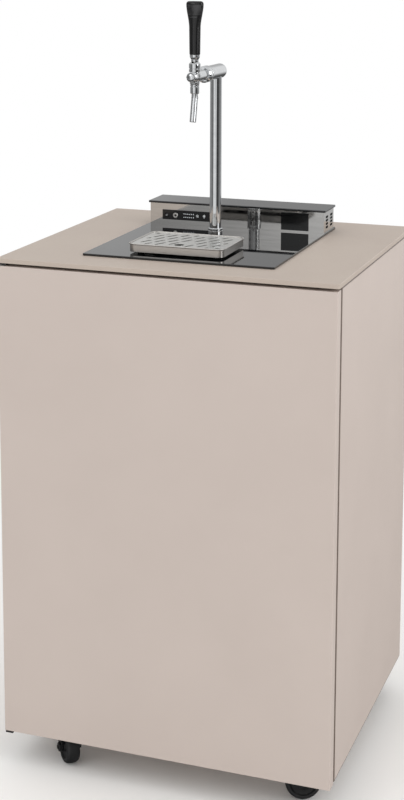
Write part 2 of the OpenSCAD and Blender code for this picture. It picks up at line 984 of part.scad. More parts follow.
module tap_body() {
  rear = nut_y - tap_y;
  end = tail_y - tap_y;
  color(chrome)
    at_tap()
      difference() {
        union() {
          difference() {
            rotate([-90, 0, 0])
              rotate_extrude() {
                translate([0, -14]) square([tap_r - 1, 20]);
                square([tap_r, rear]);
                square([tail_r, end]);
                intersection() {
                  circle(r = tap_r + 1);
                  translate([0, -tap_r]) square([tap_r + 1, 2 * tap_r]);
                }
              }
            // flat seat of the collar nut
            translate([0, 0, collar_z]) cylinder(r = collar_r + free_gap, h = pivot_h);
          }
          translate([0, 0, nozzle_z])
            rotate_extrude() {
              square([neck_r + 0.5, collar_z - nozzle_z]);
              square([neck_r, pivot_h - 1.5 - nozzle_z]);
            }
          // flow screw at the front right of the barrel
          translate([0, 0, flow_z]) rotate([0, 0, flow_turn]) rod_y(flow_r, -neck_r - 3, -4.5);
        }
        // valve chamber, seat and beer way
        rotate([-90, 0, 0])
          rotate_extrude() {
            translate([0, -15]) square([valve_r, seat_y + 15]);
            square([valve_r - 2, end + 1]);
            translate([0, seat_y + 3]) square([valve_r + 0.5, rear - seat_y - 15]);
            translate([0, end - 9]) square([line_r + 0.1, 10]);
          }
        translate([0, 0, nozzle_z - 1]) cylinder(r = 4, h = -nozzle_z + 1);
        translate([0, 0, pivot_h - ball_r - free_gap]) cylinder(r = ball_r + free_gap, h = ball_r + 1);
        arm_slot();
        // slot of the flow screw
        translate([0, 0, flow_z])
          rotate([0, 0, flow_turn])
            translate([-flow_r - 1, -neck_r - 4, -0.6]) cube([2 * flow_r + 2, 1.8, 1.2]);
      }
}

module front_cap() {
  color(chrome)
    at_tap()
      translate([0, -14, 0])
        rotate([90, 0, 0])
          rotate_extrude()
            difference() {
              polygon([[0, -3], [valve_r - 0.1, -3], [valve_r - 0.1, 0], [tap_r - 1, 0], [tap_r - 1, 2],
                [cap_r, 3], [cap_r, 6], [cap_r - 0.6, 6.6], [0, 6.6]]);
              translate([cap_r - 1.8, 4.8]) square([1.2, 2]);
            }
}

module collar_nut() {
  color(chrome)
    at_tap()
      difference() {
        rotate_extrude()
          difference() {
            union() {
              translate([0, collar_z]) square([collar_r, pivot_h - collar_z + 4]);
              intersection() {
                translate([0, pivot_h]) circle(r = dome_r);
                translate([0, pivot_h]) square([collar_r, dome_r + 1]);
              }
            }
            // grip groove, thread and ball seat
            translate([collar_r, pivot_h - 1.5]) circle(r = 0.9);
            square([neck_r + seat_gap, pivot_h - 1.2]);
            translate([0, pivot_h]) circle(r = ball_r + free_gap);
          }
        stem_slot();
      }
}

module lever() {
  color(steel)
    at_tap() {
      sphere(r = tip_r);
      cylinder(r = arm_r, h = pivot_h);
      translate([0, 0, pivot_h]) {
        sphere(r = ball_r);
        cylinder(r = stem_r, h = handle_z + 20 - pivot_h);
      }
    }
}

module ferrule() {
  color(chrome)
    at_tap()
      difference() {
        translate([0, 0, ferrule_z - 2])
          rotate_extrude()
            polygon([[stem_r + seat_gap, 0], [ferrule_r - 2.2, 0], [ferrule_r - 2.2, 4], [ferrule_r, 8],
              [ferrule_r, ferrule_h + 2], [stem_r + seat_gap, ferrule_h + 2]]);
        translate([0, 0, pivot_h]) sphere(r = dome_r + free_gap);
      }
}

// Half width and half depth of the handle at a share t of its length
function flare(t) = pow(max(0, (t - flare_from) / (1 - flare_from)), 1.15);
function grip_w(t) = grip_r + grip_slope * t + (handle_w / 2 - grip_r - grip_slope) * flare(t);
function grip_d(t) = grip_r + (handle_d / 2 - grip_r) * t;

module handle_slice(t, cut) {
  translate([0, 0, handle_z + t * (handle_h - slice_t)])
    linear_extrude(slice_t) scale([grip_w(t) - cut, grip_d(t) - cut]) circle(r = 1, $fn = 36);
}

module tap_handle() {
  stops = [0, 0.45, 0.62, 0.78, 0.94, 0.98, 1];
  cuts = [0, 0, 0, 0, 0, 0.3 * handle_round, handle_round];
  color(black)
    at_tap()
      difference() {
        for (i = [1:len(stops) - 1])
          hull() {
            handle_slice(stops[i - 1], cuts[i - 1]);
            handle_slice(stops[i], cuts[i]);
          }
        translate([0, 0, handle_z - 1]) cylinder(r = stem_r + seat_gap, h = 21.5);
      }
}

module valve_piston() {
  half = tip_r + free_gap;
  color(steel)
    at_tap()
      difference() {
        union() {
          rod_y(valve_r - 0.08, -8, 6);
          rod_y(2.6, 0, seat_y + 6);
          rod_y(valve_r - 0.6, seat_y + 3 + free_gap, seat_y + 7);
        }
        // slot that the lever's tip sits in, longer above for the leaning arm
        translate([-half, -half, -valve_r]) cube([2 * half, 2 * half, 2 * valve_r]);
        translate([-half, -half - 2.6, 1]) cube([2 * half, half, valve_r]);
      }
}

module nozzle() {
  color(chrome)
    at_tap()
      translate([0, 0, spout_z])
        rotate_extrude()
          difference() {
            polygon([[4, 0], [nozzle_r - 1, 0], [nozzle_r, 1], [nozzle_r, nozzle_h - 1],
              [nozzle_r - 1, nozzle_h], [4, nozzle_h]]);
            translate([0, -1]) square([spout_r + seat_gap, 7]);
            translate([nozzle_r, nozzle_h - 4]) circle(r = 0.8);
          }
}

module spout_shape(r, extra) {
  knee_z = spout_z - r - 1;
  translate([0, 0, knee_z]) cylinder(r = r, h = spout_z + 6 - knee_z + extra);
  translate([0, 0, knee_z]) {
    sphere(r = r + 0.3);
    rotate([-spout_lean, 0, 0])
      translate([0, 0, -spout_len - extra]) cylinder(r = r, h = spout_len + extra);
  }
}

module spout() {
  color(chrome)
    at_tap()
      difference() {
        spout_shape(spout_r, 0);
        spout_shape(spout_r - 1.2, 1);
      }
}

// Drip tray

module at_tray(z) {
  translate([tray_x, tray_y, z]) children();
}

module drip_tray() {
  inner_w = tray_w - 2 * tray_wall - 2;
  inner_d = tray_d - 2 * tray_wall - 2;
  color(steel) {
    difference() {
      union() {
        at_tray(tray_rim - 1.6) linear_extrude(1.6) rounded(tray_w, tray_d, tray_corner);
        at_tray(tray_floor)
          linear_extrude(tray_rim - tray_floor) rounded(tray_w - 2, tray_d - 2, tray_corner - 1);
      }
      at_tray(tray_floor + tray_wall) linear_extrude(tray_h) rounded(inner_w, inner_d, tray_corner - 2);
    }
    // corner rests of the grid
    for (x = [-1, 1])
      for (y = [-1, 1])
        translate([tray_x + x * (inner_w / 2 - 9), tray_y + y * (inner_d / 2 - 9), tray_floor])
          cylinder(r = 5, h = rest_z - tray_floor);
  }
}

module tray_feet() {
  color(dark)
    for (x = [-1, 1])
      for (y = [-1, 1])
        translate([tray_x + x * (tray_w / 2 - 18), tray_y + y * (tray_d / 2 - 18), plate_top + free_gap])
          cylinder(r = 6, h = tray_floor - plate_top - free_gap);
}

// Slots in leaning lines, cut short at the edges of their field
module drip_grid() {
  field_w = grid_w / 2 - 10;
  field_d = grid_d / 2 - 7;
  run = cos(slot_lean);
  rise = sin(slot_lean);
  lines = ceil(grid_w / slot_row);
  steps = ceil(grid_w / slot_step);
  color(steel)
    at_tray(grid_z)
      linear_extrude(grid_t)
        difference() {
          rounded(grid_w, grid_d, tray_corner - 2);
          // finger hole near the front
          translate([0, finger_y]) circle(r = finger_r);
          for (i = [-lines:lines])
            for (j = [-steps:steps]) {
              across = i * slot_row;
              mid = (j + 0.5 * (i % 2)) * slot_step;
              low = max(mid - slot_len / 2, (across * run - field_d) / rise,
                (-field_w - across * rise) / run);
              high = min(mid + slot_len / 2, (across * run + field_d) / rise,
                (field_w - across * rise) / run);
              along = (low + high) / 2;
              hole = finger_y * rise;
              nearest = min(max(hole, low), high);
              room = norm([nearest - hole, across + finger_y * run]) - finger_r - slot_w / 2;
              if (high - low > 2 * slot_w && room > 3)
                translate([along * run + across * rise, along * rise - across * run])
                  rotate(slot_lean) oblong(high - low, slot_w);
            }
        }
}

counter_top();
left_side_panel();
right_side_panel();
back_panel();
base_board();
front_rail();
hinge_leaves();
door_panel();
hinge_bushes();
latch_body();
latch_plunger();
caster_plates();
fork_fl();
fork_fr();
fork_bl();
fork_br();
wheel_fl();
wheel_fr();
wheel_bl();
wheel_br();
glass_plate();
box_shell();
box_lid();
control_strip();
power_button();
set_button();
lamps();
control_board();
badge_plate();
cooler_casing();
cooler_base();
compressor();
compressor_feet();
condenser();
fan_shroud();
fan_motor();
fan_rotor();
cooling_block();
insulation();
beer_inlet();
beer_line();
power_inlet();
column_tube();
column_base();
column_nut();
column_head();
shank_nut();
tap_body();
front_cap();
collar_nut();
nozzle();
spout();
valve_piston();
lever();
ferrule();
tap_handle();
drip_tray();
tray_feet();
drip_grid();
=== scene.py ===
import json
import math

import bmesh
import bpy
from mathutils import Matrix, Vector
from mathutils.bvhtree import BVHTree


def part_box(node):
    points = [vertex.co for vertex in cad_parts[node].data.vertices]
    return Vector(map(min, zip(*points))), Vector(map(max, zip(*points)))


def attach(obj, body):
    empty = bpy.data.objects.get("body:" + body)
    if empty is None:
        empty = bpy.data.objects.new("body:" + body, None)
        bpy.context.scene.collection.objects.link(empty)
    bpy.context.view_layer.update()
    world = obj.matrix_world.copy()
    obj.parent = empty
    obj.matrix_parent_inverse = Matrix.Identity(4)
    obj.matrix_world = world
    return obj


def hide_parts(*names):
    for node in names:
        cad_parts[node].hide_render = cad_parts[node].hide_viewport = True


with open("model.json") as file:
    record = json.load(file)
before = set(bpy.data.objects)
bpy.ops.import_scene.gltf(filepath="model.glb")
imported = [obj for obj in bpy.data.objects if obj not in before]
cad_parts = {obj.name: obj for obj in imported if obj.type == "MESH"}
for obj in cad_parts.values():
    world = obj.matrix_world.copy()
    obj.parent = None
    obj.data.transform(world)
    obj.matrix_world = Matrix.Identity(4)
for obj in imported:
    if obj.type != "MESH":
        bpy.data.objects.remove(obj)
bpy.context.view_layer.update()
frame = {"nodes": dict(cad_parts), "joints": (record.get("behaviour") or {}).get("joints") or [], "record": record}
cadNodes = frame["nodes"]
bodyOf = {n: b for b, members in frame["record"]["behaviour"]["bodies"].items() for n in members}
slotOf = {part["node"]: part["material_slot"] for part in frame["record"]["subparts"]}
jointOf = {joint["name"]: joint for joint in frame["joints"]}
mm = 0.001
up, down, forth, back = (0, 0, 1), (0, 0, -1), (0, -1, 0), (0, 1, 0)  # forth is towards the door
print("frame loaded:", len(cadNodes), "nodes")


# shared helpers

def linear(hexText):  # sRGB hex to linear RGBA
    parts = [int(hexText[i:i + 2], 16) / 255 for i in (1, 3, 5)]
    return [c / 12.92 if c <= 0.04045 else ((c + 0.055) / 1.055) ** 2.4 for c in parts] + [1.0]


def addNode(tree, kind, inputs=None, **settings):  # inputs: values, or output sockets to link
    node = tree.nodes.new(kind)
    for name, value in settings.items():
        setattr(node, name, value)
    for key, value in (inputs or {}).items():
        if isinstance(value, bpy.types.NodeSocket):
            tree.links.new(value, node.inputs[key])
        else:
            node.inputs[key].default_value = value
    return node


def startMaterial(name, **constants):  # gives the tree, its shader and Object coordinates
    material = bpy.data.materials.new(name)
    material.use_nodes = True
    tree = material.node_tree
    shader = tree.nodes["Principled BSDF"]
    for key, value in constants.items():
        shader.inputs[key].default_value = value
    spot = addNode(tree, "ShaderNodeTexCoord").outputs["Object"]
    return material, tree, shader, spot


def grainField(tree, spot, sizeMm, stretch=(1, 1, 1), detail=2.0):  # 0 to 1, with features of a real size
    scaled = addNode(tree, "ShaderNodeMapping", {"Vector": spot, "Scale": stretch}).outputs[0]
    noise = addNode(tree, "ShaderNodeTexNoise", {"Vector": scaled, "Scale": 1 / (sizeMm * mm),
                                                 "Detail": detail, "Roughness": 0.55}).outputs["Fac"]
    return addNode(tree, "ShaderNodeMapRange", {"Value": noise, "From Min": 0.3, "From Max": 0.7}).outputs[0]


def overlaid(tree, share, colour, gloss, hexTone, rough):  # a second finish over the first
    tones = {0: share, 6: colour, 7: linear(hexTone)}
    gloss = addNode(tree, "ShaderNodeMix", {0: share, 2: gloss, 3: rough}, data_type="FLOAT").outputs[0]
    return addNode(tree, "ShaderNodeMix", tones, data_type="RGBA").outputs[2], gloss


def coat(tree, shader, tones, toneField, rough, roughField, bump=None, markedFinish=None, paintedShade=None):
    # two tones and two roughnesses, each pair mixed by its field
    toneMix = {0: toneField, 6: linear(tones[0]), 7: linear(tones[1])}
    colour = addNode(tree, "ShaderNodeMix", toneMix, data_type="RGBA").outputs[2]
    glossRange = {"Value": roughField, "To Min": rough[0], "To Max": rough[1]}
    gloss = addNode(tree, "ShaderNodeMapRange", glossRange).outputs[0]
    if markedFinish:  # hex tone, roughness and patch field of the marked faces: wear on most finishes, the handle's satin label, painted shade on the side panels' dark edges, and partly a painted highlight on brushed steel edges
        hexTone, markedRough, patches = markedFinish
        edge = addNode(tree, "ShaderNodeAttribute", attribute_name="second_tone").outputs["Fac"]
        markedShare = addNode(tree, "ShaderNodeMath", {0: edge, 1: patches}, operation="MULTIPLY").outputs[0]
        colour, gloss = overlaid(tree, markedShare, colour, gloss, hexTone, markedRough)
    if paintedShade:  # hex tone and roughness of the painted shade in the hollows
        hollow = addNode(tree, "ShaderNodeAttribute", attribute_name="hollow").outputs["Fac"]
        colour, gloss = overlaid(tree, hollow, colour, gloss, *paintedShade)
    tree.links.new(colour, shader.inputs["Base Color"])
    tree.links.new(gloss, shader.inputs["Roughness"])
    if bump:  # field, depth in mm and strength
        field, deep, strength = bump
        skin = addNode(tree, "ShaderNodeBump", {"Height": field, "Distance": deep * mm, "Strength": strength})
        tree.links.new(skin.outputs[0], shader.inputs["Normal"])


def smoothed(mesh, angle=32):  # smooth faces with sharp creases
    mesh.polygons.foreach_set("use_smooth", [True] * len(mesh.polygons))
    mesh.set_sharp_from_angle(angle=math.radians(angle))
    return mesh


def meshFrom(work, name, angle=32):  # the working mesh, kept and smoothed
    mesh = bpy.data.meshes.new(name)
    work.to_mesh(mesh)
    work.free()
    return smoothed(mesh, angle)


def settle(piece):  # live modifiers to a plain mesh
    view = bpy.context.evaluated_depsgraph_get()
    mesh = bpy.data.meshes.new_from_object(piece.evaluated_get(view))
    piece.modifiers.clear()
    piece.data = mesh
    return piece


def placed(name, mesh):  # a new object at the origin
    piece = bpy.data.objects.new(name, mesh)
    bpy.context.scene.collection.objects.link(piece)
    return piece


def finishPiece(piece, material, body, slot, *standsFor):  # its finish, body and slot (not used), and what it replaces
    piece.data.materials.clear()
    piece.data.materials.append(material)
    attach(piece, body)
    if standsFor:
        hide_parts(*standsFor)
    return piece


def standIn(node, mesh, material):  # a finer mesh in the place of one CAD node
    return finishPiece(placed(node + "_skin", mesh), material, bodyOf[node], slotOf[node], node)


def mergedCopy(node):  # a CAD node's triangles, joined into clean faces
    touching, flat = 2e-6, math.radians(0.4)  # metres, radians
    mesh = cadNodes[node].data.copy()
    work = bmesh.new()
    work.from_mesh(mesh)
    bmesh.ops.remove_doubles(work, verts=work.verts, dist=touching)
    bmesh.ops.dissolve_limit(work, angle_limit=flat, verts=work.verts, edges=work.edges)
    work.to_mesh(mesh)
    work.free()
    return mesh


def eased(piece, edgeMm, steps=2, angle=35, mark=-1):  # rounds the sharp edges; mark is their material slot
    bevel = piece.modifiers.new("easedEdge", "BEVEL")
    bevel.width = edgeMm * mm
    bevel.segments = steps
    bevel.limit_method = "ANGLE"
    bevel.angle_limit = math.radians(angle)
    bevel.miter_outer = "MITER_ARC"
    bevel.material = mark
    return settle(piece)


def softened(node, material, edgeMm, steps=2, angle=35):  # CAD node with eased edges, marked for the second tone
    mesh = mergedCopy(node)
    mesh.materials.clear()
    for layer in range(2):  # the second slot marks the eased edges
        mesh.materials.append(material)
    piece = eased(placed(node + "_skin", mesh), edgeMm, steps, angle, 1)
    faces = piece.data.polygons
    marks = [float(face.material_index) for face in faces]
    piece.data.attributes.new("second_tone", "FLOAT", "FACE").data.foreach_set("value", marks)
    faces.foreach_set("material_index", [0] * len(faces))
    smoothed(piece.data, angle)
    level = piece.modifiers.new("level", "WEIGHTED_NORMAL")  # flat faces mirror straight
    level.weight, level.keep_sharp = 100, True
    settle(piece)
    return finishPiece(piece, material, bodyOf[node], slotOf[node], node)


def hollows(piece, reachMm, *others, start=0.5, faces=False):  # marks points or faces by how shut in they are; the mark paints shade into the colour
    points, sides = [], []
    for mesh in [piece.data] + [cadNodes[node].data for node in others]:
        sides += [[len(points) + i for i in face.vertices] for face in mesh.polygons]
        points += [v.co.copy() for v in mesh.vertices]
    walls = BVHTree.FromPolygons(points, sides)
    rays, goldenTurn, fade, clear = 14, 2.4, 0.35, 0.05 * mm
    dome = []
    for k in range(rays):
        rise = (k + 0.5) / rays
        run = math.sqrt(1 - rise * rise)
        dome.append(Vector((run * math.cos(k * goldenTurn), run * math.sin(k * goldenTurn), rise)))
    if faces:
        spots = [(face.center, face.normal) for face in piece.data.polygons]
    else:
        spots = [(v.co, v.normal) for v in piece.data.vertices]
    marks = []
    for place, normal in spots:
        tilt = normal.to_track_quat("Z", "Y")
        hits = [walls.ray_cast(place + normal * clear, tilt @ ray, reachMm * mm)[0] for ray in dome]
        shut = sum(hit is not None for hit in hits) / rays
        marks.append(min(1, max(0, (shut - start) / fade)))
    layer = piece.data.attributes.new("hollow", "FLOAT", "FACE" if faces else "POINT")
    layer.data.foreach_set("value", marks)
    return piece


def dressed(node, material):  # CAD node kept, with its finish
    cadNodes[node].data.materials.clear()
    cadNodes[node].data.materials.append(material)


def along(origin, direction):  # place whose own Z runs along a direction
    return Matrix.Translation(origin) @ Vector(direction).to_track_quat("Z", "Y").to_matrix().to_4x4()


def filleted(points, radius, steps=4, loop=False):  # rounds corners; a point's third value is its radius
    out = []
    last = len(points) - 1
    for i, point in enumerate(points):
        here = Vector(point[:2])
        size = point[2] if len(point) > 2 else radius
        if size <= 0 or (not loop and i in (0, last)):
            out.append(tuple(here))
            continue
        before = Vector(points[i - 1][:2]) - here
        after = Vector(points[(i + 1) % len(points)][:2]) - here
        half = before.angle(after, math.pi) / 2
        room = 0.48 * min(before.length, after.length)  # two fillets share a side
        reach = min(size / max(math.tan(half), 1e-3), room)
        start, end = here + before.normalized() * reach, here + after.normalized() * reach
        for k in range(steps + 1):
            t = k / steps
            out.append(tuple(start * (1 - t) ** 2 + here * 2 * t * (1 - t) + end * t ** 2))
    return out


def circle(x, y, radius, start=0, end=360, steps=24):  # points of an arc
    turns = [math.radians(start + (end - start) * k / steps) for k in range(steps + 1)]
    return [(x + radius * math.cos(a), y + radius * math.sin(a)) for a in turns]


def joinRings(work, rings):  # quads between loops, fans at single points
    for low, high in zip(rings, rings[1:]):
        count = max(len(low), len(high))
        for k in range(count):
            n = (k + 1) % count
            corners = [low[k % len(low)], low[n % len(low)], high[n % len(high)], high[k % len(high)]]
            work.faces.new(list(dict.fromkeys(corners)))


def lathe(name, profile, place, turns=96, angle=32):  # profile of (radius, along) in mm
    work = bmesh.new()
    rings = []
    for radius, height in profile:
        if radius < 1e-6:
            rings.append([work.verts.new(place @ Vector((0, 0, height * mm)))])
            continue
        ring = circle(0, 0, radius, steps=turns)[:-1]
        rings.append([work.verts.new(place @ (Vector((x, y, height)) * mm)) for x, y in ring])
    if len(rings[0]) > 1:
        rings.append(rings[0])
    joinRings(work, rings)
    bmesh.ops.recalc_face_normals(work, faces=work.faces)
    return meshFrom(work, name, angle)


def loft(name, loops, angle=40):  # loops of points in metres, closed by a fan at both ends
    work = bmesh.new()
    ends = [[sum((Vector(p) for p in loop), Vector()) / len(loop)] for loop in (loops[0], loops[-1])]
    rings = [[work.verts.new(p) for p in loop] for loop in [ends[0]] + loops + [ends[1]]]
    joinRings(work, rings)
    bmesh.ops.recalc_face_normals(work, faces=work.faces)
    return meshFrom(work, name, angle)


def middle(node):  # of its box
    low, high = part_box(node)
    return (low + high) / 2


def frontOf(node):  # middle of its front face
    low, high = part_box(node)
    return Vector(((low.x + high.x) / 2, low.y, (low.z + high.z) / 2))


def span(node, axis, origin=0.0):  # ends of a node along an axis, mm from an origin
    low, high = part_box(node)
    return (low[axis] - origin) / mm, (high[axis] - origin) / mm


# geometry nodes: screws, nuts and beads that follow an edge

def nodeTree(name, sockets):  # an empty tree with named inputs
    tree = bpy.data.node_groups.new(name, "GeometryNodeTree")
    tree.interface.new_socket("Geometry", in_out="INPUT", socket_type="NodeSocketGeometry")
    for label, kind in sockets.items():
        tree.interface.new_socket(label, in_out="INPUT", socket_type="NodeSocket" + kind)
    tree.interface.new_socket("Geometry", in_out="OUTPUT", socket_type="NodeSocketGeometry")
    return tree, addNode(tree, "NodeGroupInput").outputs


def closeTree(tree, geometry, finish):  # instances made real, the finish set
    whole = addNode(tree, "GeometryNodeRealizeInstances", {"Geometry": geometry}).outputs[0]
    coated = addNode(tree, "GeometryNodeSetMaterial", {"Geometry": whole, "Material": finish}).outputs[0]
    addNode(tree, "NodeGroupOutput", {0: coated})
    return tree


def onPoints(tree, given, shape):  # the shape on every point, its Z along the point's aim
    aim = addNode(tree, "GeometryNodeInputNamedAttribute", {"Name": "aim"}, data_type="FLOAT_VECTOR")
    turn = addNode(tree, "FunctionNodeAlignRotationToVector", {"Vector": aim.outputs[0]}, axis="Z").outputs[0]
    inputs = {"Points": given["Geometry"], "Instance": shape, "Rotation": turn, "Scale": given["Radius"]}
    return addNode(tree, "GeometryNodeInstanceOnPoints", inputs).outputs[0]


screwShape = {"sides": 28, "top": 0.68, "height": 0.5, "slot": (1.05, 0.24)}  # for a head radius of 1
nutShape = {"height": 0.52, "boltRadius": 0.42, "boltLength": 0.5, "boltMiddle": 0.5}  # for a radius of 1


def screwTree():  # cone head with a cross recess
    tree, given = nodeTree("crossScrews", {"Radius": "Float", "Finish": "Material"})
    height, (long, narrow) = screwShape["height"], screwShape["slot"]
    cone = {"Vertices": screwShape["sides"], "Radius Top": screwShape["top"], "Radius Bottom": 1.0,
            "Depth": height}
    head = addNode(tree, "GeometryNodeMeshCone", cone).outputs["Mesh"]
    for size in ((long, narrow, height), (narrow, long, height)):
        bar = addNode(tree, "GeometryNodeMeshCube", {"Size": size}).outputs["Mesh"]
        lifted = {"Geometry": bar, "Translation": (0, 0, height)}
        cut = addNode(tree, "GeometryNodeTransform", lifted).outputs[0]
        head = addNode(tree, "GeometryNodeMeshBoolean", {"Mesh 1": head, "Mesh 2": cut},
                       operation="DIFFERENCE").outputs["Mesh"]
    return closeTree(tree, onPoints(tree, given, head), given["Finish"])


def nutTree():  # hexagon nut with the axle's end in it
    tree, given = nodeTree("axleNuts", {"Radius": "Float", "Finish": "Material"})
    both = addNode(tree, "GeometryNodeJoinGeometry")
    rods = ((6, 1.0, nutShape["height"], nutShape["height"] / 2),  # sides, radius, length and middle
            (28, nutShape["boltRadius"], nutShape["boltLength"], nutShape["boltMiddle"]))
    for sides, radius, length, height in rods:
        rod = {"Vertices": sides, "Radius": radius, "Depth": length}
        shape = addNode(tree, "GeometryNodeMeshCylinder", rod).outputs["Mesh"]
        lifted = {"Geometry": shape, "Translation": (0, 0, height)}
        tree.links.new(addNode(tree, "GeometryNodeTransform", lifted).outputs[0], both.inputs[0])
    return closeTree(tree, onPoints(tree, given, both.outputs[0]), given["Finish"])


def beadTree():  # a round bead along every line of edges
    tree, given = nodeTree("beads", {"Radius": "Float", "Finish": "Material"})
    path = addNode(tree, "GeometryNodeMeshToCurve", {"Mesh": given["Geometry"]}).outputs[0]
    ring = {"Resolution": 10, "Radius": given["Radius"]}
    section = addNode(tree, "GeometryNodeCurvePrimitiveCircle", ring).outputs[0]
    swept = {"Curve": path, "Profile Curve": section, "Fill Caps": True}
    bead = addNode(tree, "GeometryNodeCurveToMesh", swept).outputs[0]
    return closeTree(tree, bead, given["Finish"])


crossScrews, axleNuts, beads = screwTree(), nutTree(), beadTree()


def grown(name, mesh, tree, radiusMm, material, body, slot, edgeMm=0):  # a tree's result as a plain mesh
    piece = placed(name, mesh)
    step = piece.modifiers.new("grow", "NODES")
    step.node_group = tree
    values = {"Radius": radiusMm * mm, "Finish": material}
    for socket in tree.interface.items_tree:
        if socket.in_out == "INPUT" and socket.name in values:
            step[socket.identifier] = values[socket.name]
    settle(piece)
    if edgeMm:
        eased(piece, edgeMm)
    smoothed(piece.data, 40)
    return finishPiece(piece, material, body, slot)


def aimedPoints(name, spots):  # points in mm with the way each one faces
    mesh = bpy.data.meshes.new(name)
    mesh.from_pydata([Vector(spot) * mm for spot, aim in spots], [], [])
    aims = [part for spot, aim in spots for part in aim]
    mesh.attributes.new("aim", "FLOAT_VECTOR", "POINT").data.foreach_set("vector", aims)
    return mesh


def pathMesh(name, paths):  # lines of points in metres
    points, edges = [], []
    for path in paths:
        edges += [(len(points) + k, len(points) + k + 1) for k in range(len(path) - 1)]
        points += path
    mesh = bpy.data.meshes.new(name)
    mesh.from_pydata(points, edges, [])
    return mesh


def topLoops(node, outline):  # upper edges of a flat piece: its outline, or only its holes
    work = bmesh.new()
    work.from_mesh(mergedCopy(node))
    top = max(v.co.z for v in work.verts)
    level, sharp = 1e-5, 1  # metres, radians
    flat = [e for e in work.edges if all(abs(v.co.z - top) < level for v in e.verts)]
    rims = [e for e in flat if e.calc_face_angle(0) > sharp]
    outer = {max((v for e in rims for v in e.verts), key=lambda v: v.co.x)}
    grew = True
    while grew:
        more = {v for e in rims if set(e.verts) & outer for v in e.verts} - outer
        outer |= more
        grew = bool(more)
    keep = [e for e in rims if (e.verts[0] in outer) == outline]
    spots = {v: i for i, v in enumerate({v: None for e in keep for v in e.verts})}
    mesh = bpy.data.meshes.new(node + "_rims")
    mesh.from_pydata([v.co.copy() for v in spots], [[spots[v] for v in e.verts] for e in keep], [])
    work.free()
    return mesh


print("node trees made")


# finishes

def pressedLaminate(name, hexA, hexB, edgeHex, cover=0.0):  # high-pressure laminate, matt: a soft broad sheen
    material, tree, shader, spot = startMaterial(name, IOR=1.5, Metallic=0.0)
    cloud = grainField(tree, spot, 160, detail=3)
    pebble = grainField(tree, spot, 1.4, detail=1)  # a 0.4 mm pebble drawn coarser so that it shows
    edgePatchField = grainField(tree, spot, 24, detail=4)
    patches = addNode(tree, "ShaderNodeMapRange", {"Value": edgePatchField, "To Min": cover}).outputs[0]
    # the edge tone is wear on most boards and painted shade on the side panels; the dark tone #65574E is painted
    # shade in the hollows
    coat(tree, shader, (hexA, hexB), cloud, (0.44, 0.54), pebble, (pebble, 0.012, 0.3),
         (edgeHex, 0.34, patches), ("#65574E", 0.6))
    return material


def backPaintedGlass(name):  # float glass painted black behind: deep black under a clear mirror gloss
    material, tree, shader, spot = startMaterial(name, IOR=1.58, Metallic=0.0)
    wipe = grainField(tree, spot, 34, stretch=(1, 0.35, 1), detail=3)
    coat(tree, shader, ("#060708", "#0B0C0E"), wipe, (0.012, 0.045), wipe,  # faint wiping marks
         markedFinish=("#20262A", 0.12, grainField(tree, spot, 12)))  # ground edge, a little green
    return material


def mirrorSteel(name):  # stainless sheet, mirror polished: clear reflections with long polish streaks
    material, tree, shader, spot = startMaterial(name, Metallic=1.0)
    streak = grainField(tree, spot, 5, stretch=(0.08, 1, 1), detail=3)
    coat(tree, shader, ("#C9C8C6", "#D4D3D1"), streak, (0.03, 0.08), streak,
         markedFinish=("#E2E2E0", 0.2, grainField(tree, spot, 8)))
    return material


def chromePlate(name, rough=(0.03, 0.08)):  # brass, polished and chromium plated: cold bright mirror
    material, tree, shader, spot = startMaterial(name, Metallic=1.0)
    haze = grainField(tree, spot, 9, detail=3)
    # the dark tone #26241F is painted shade in the hollows
    coat(tree, shader, ("#CDCFD1", "#DADCDD"), haze, rough, haze,
         markedFinish=("#E6E6E4", 0.14, grainField(tree, spot, 4)), paintedShade=("#26241F", 0.45))
    return material


def brushedSteel(name, stretch, hexA="#BDBCB9", hexB="#CDCCC9", rough=(0.24, 0.34)):  # brushed: fine lines
    material, tree, shader, spot = startMaterial(name, Metallic=1.0)
    line = grainField(tree, spot, 0.6, stretch=stretch, detail=2)  # 0.1 mm lines drawn coarser
    coat(tree, shader, (hexA, hexB), line, rough, line, (line, 0.008, 0.25),
         ("#E4E3E0", 0.16, grainField(tree, spot, 7)), ("#2B2823", 0.5))  # edges rubbed bright by wiping, partly a painted highlight on the rims; the dark tone is painted shade in the hollows
    return material


def zincSheet(name):  # hot-dip galvanised sheet: pale spangle of flat crystals
    material, tree, shader, spot = startMaterial(name, Metallic=1.0)
    grain = addNode(tree, "ShaderNodeTexVoronoi", {"Vector": spot, "Scale": 1 / (11 * mm)})
    shade = addNode(tree, "ShaderNodeSeparateColor", {"Color": grain.outputs["Color"]}).outputs[0]
    coat(tree, shader, ("#9FA3A6", "#C2C5C7"), shade, (0.32, 0.5), shade,
         markedFinish=("#D5D7D8", 0.25, grainField(tree, spot, 10)))
    return material


def paintedSteel(name, hexA, hexB):  # steel under powder coat: orange-peel skin, satin, rubbed grey at edges
    material, tree, shader, spot = startMaterial(name, IOR=1.5, Metallic=0.0)
    peel = grainField(tree, spot, 2.2, detail=1)
    coat(tree, shader, (hexA, hexB), grainField(tree, spot, 40), (0.34, 0.5), peel, (peel, 0.03, 0.4),
         ("#6A6A6B", 0.3, grainField(tree, spot, 5, detail=4)))
    return material


def mouldedPlastic(name, hexA, hexB, edgeHex, rough=(0.35, 0.5), grainMm=1.0):  # ABS or nylon, spark grain
    material, tree, shader, spot = startMaterial(name, IOR=1.53, Metallic=0.0)
    grain = grainField(tree, spot, grainMm)
    coat(tree, shader, (hexA, hexB), grainField(tree, spot, 25), rough, grain, (grain, 0.015, 0.35),
         (edgeHex, rough[0], grainField(tree, spot, 6, detail=3)))
    return material


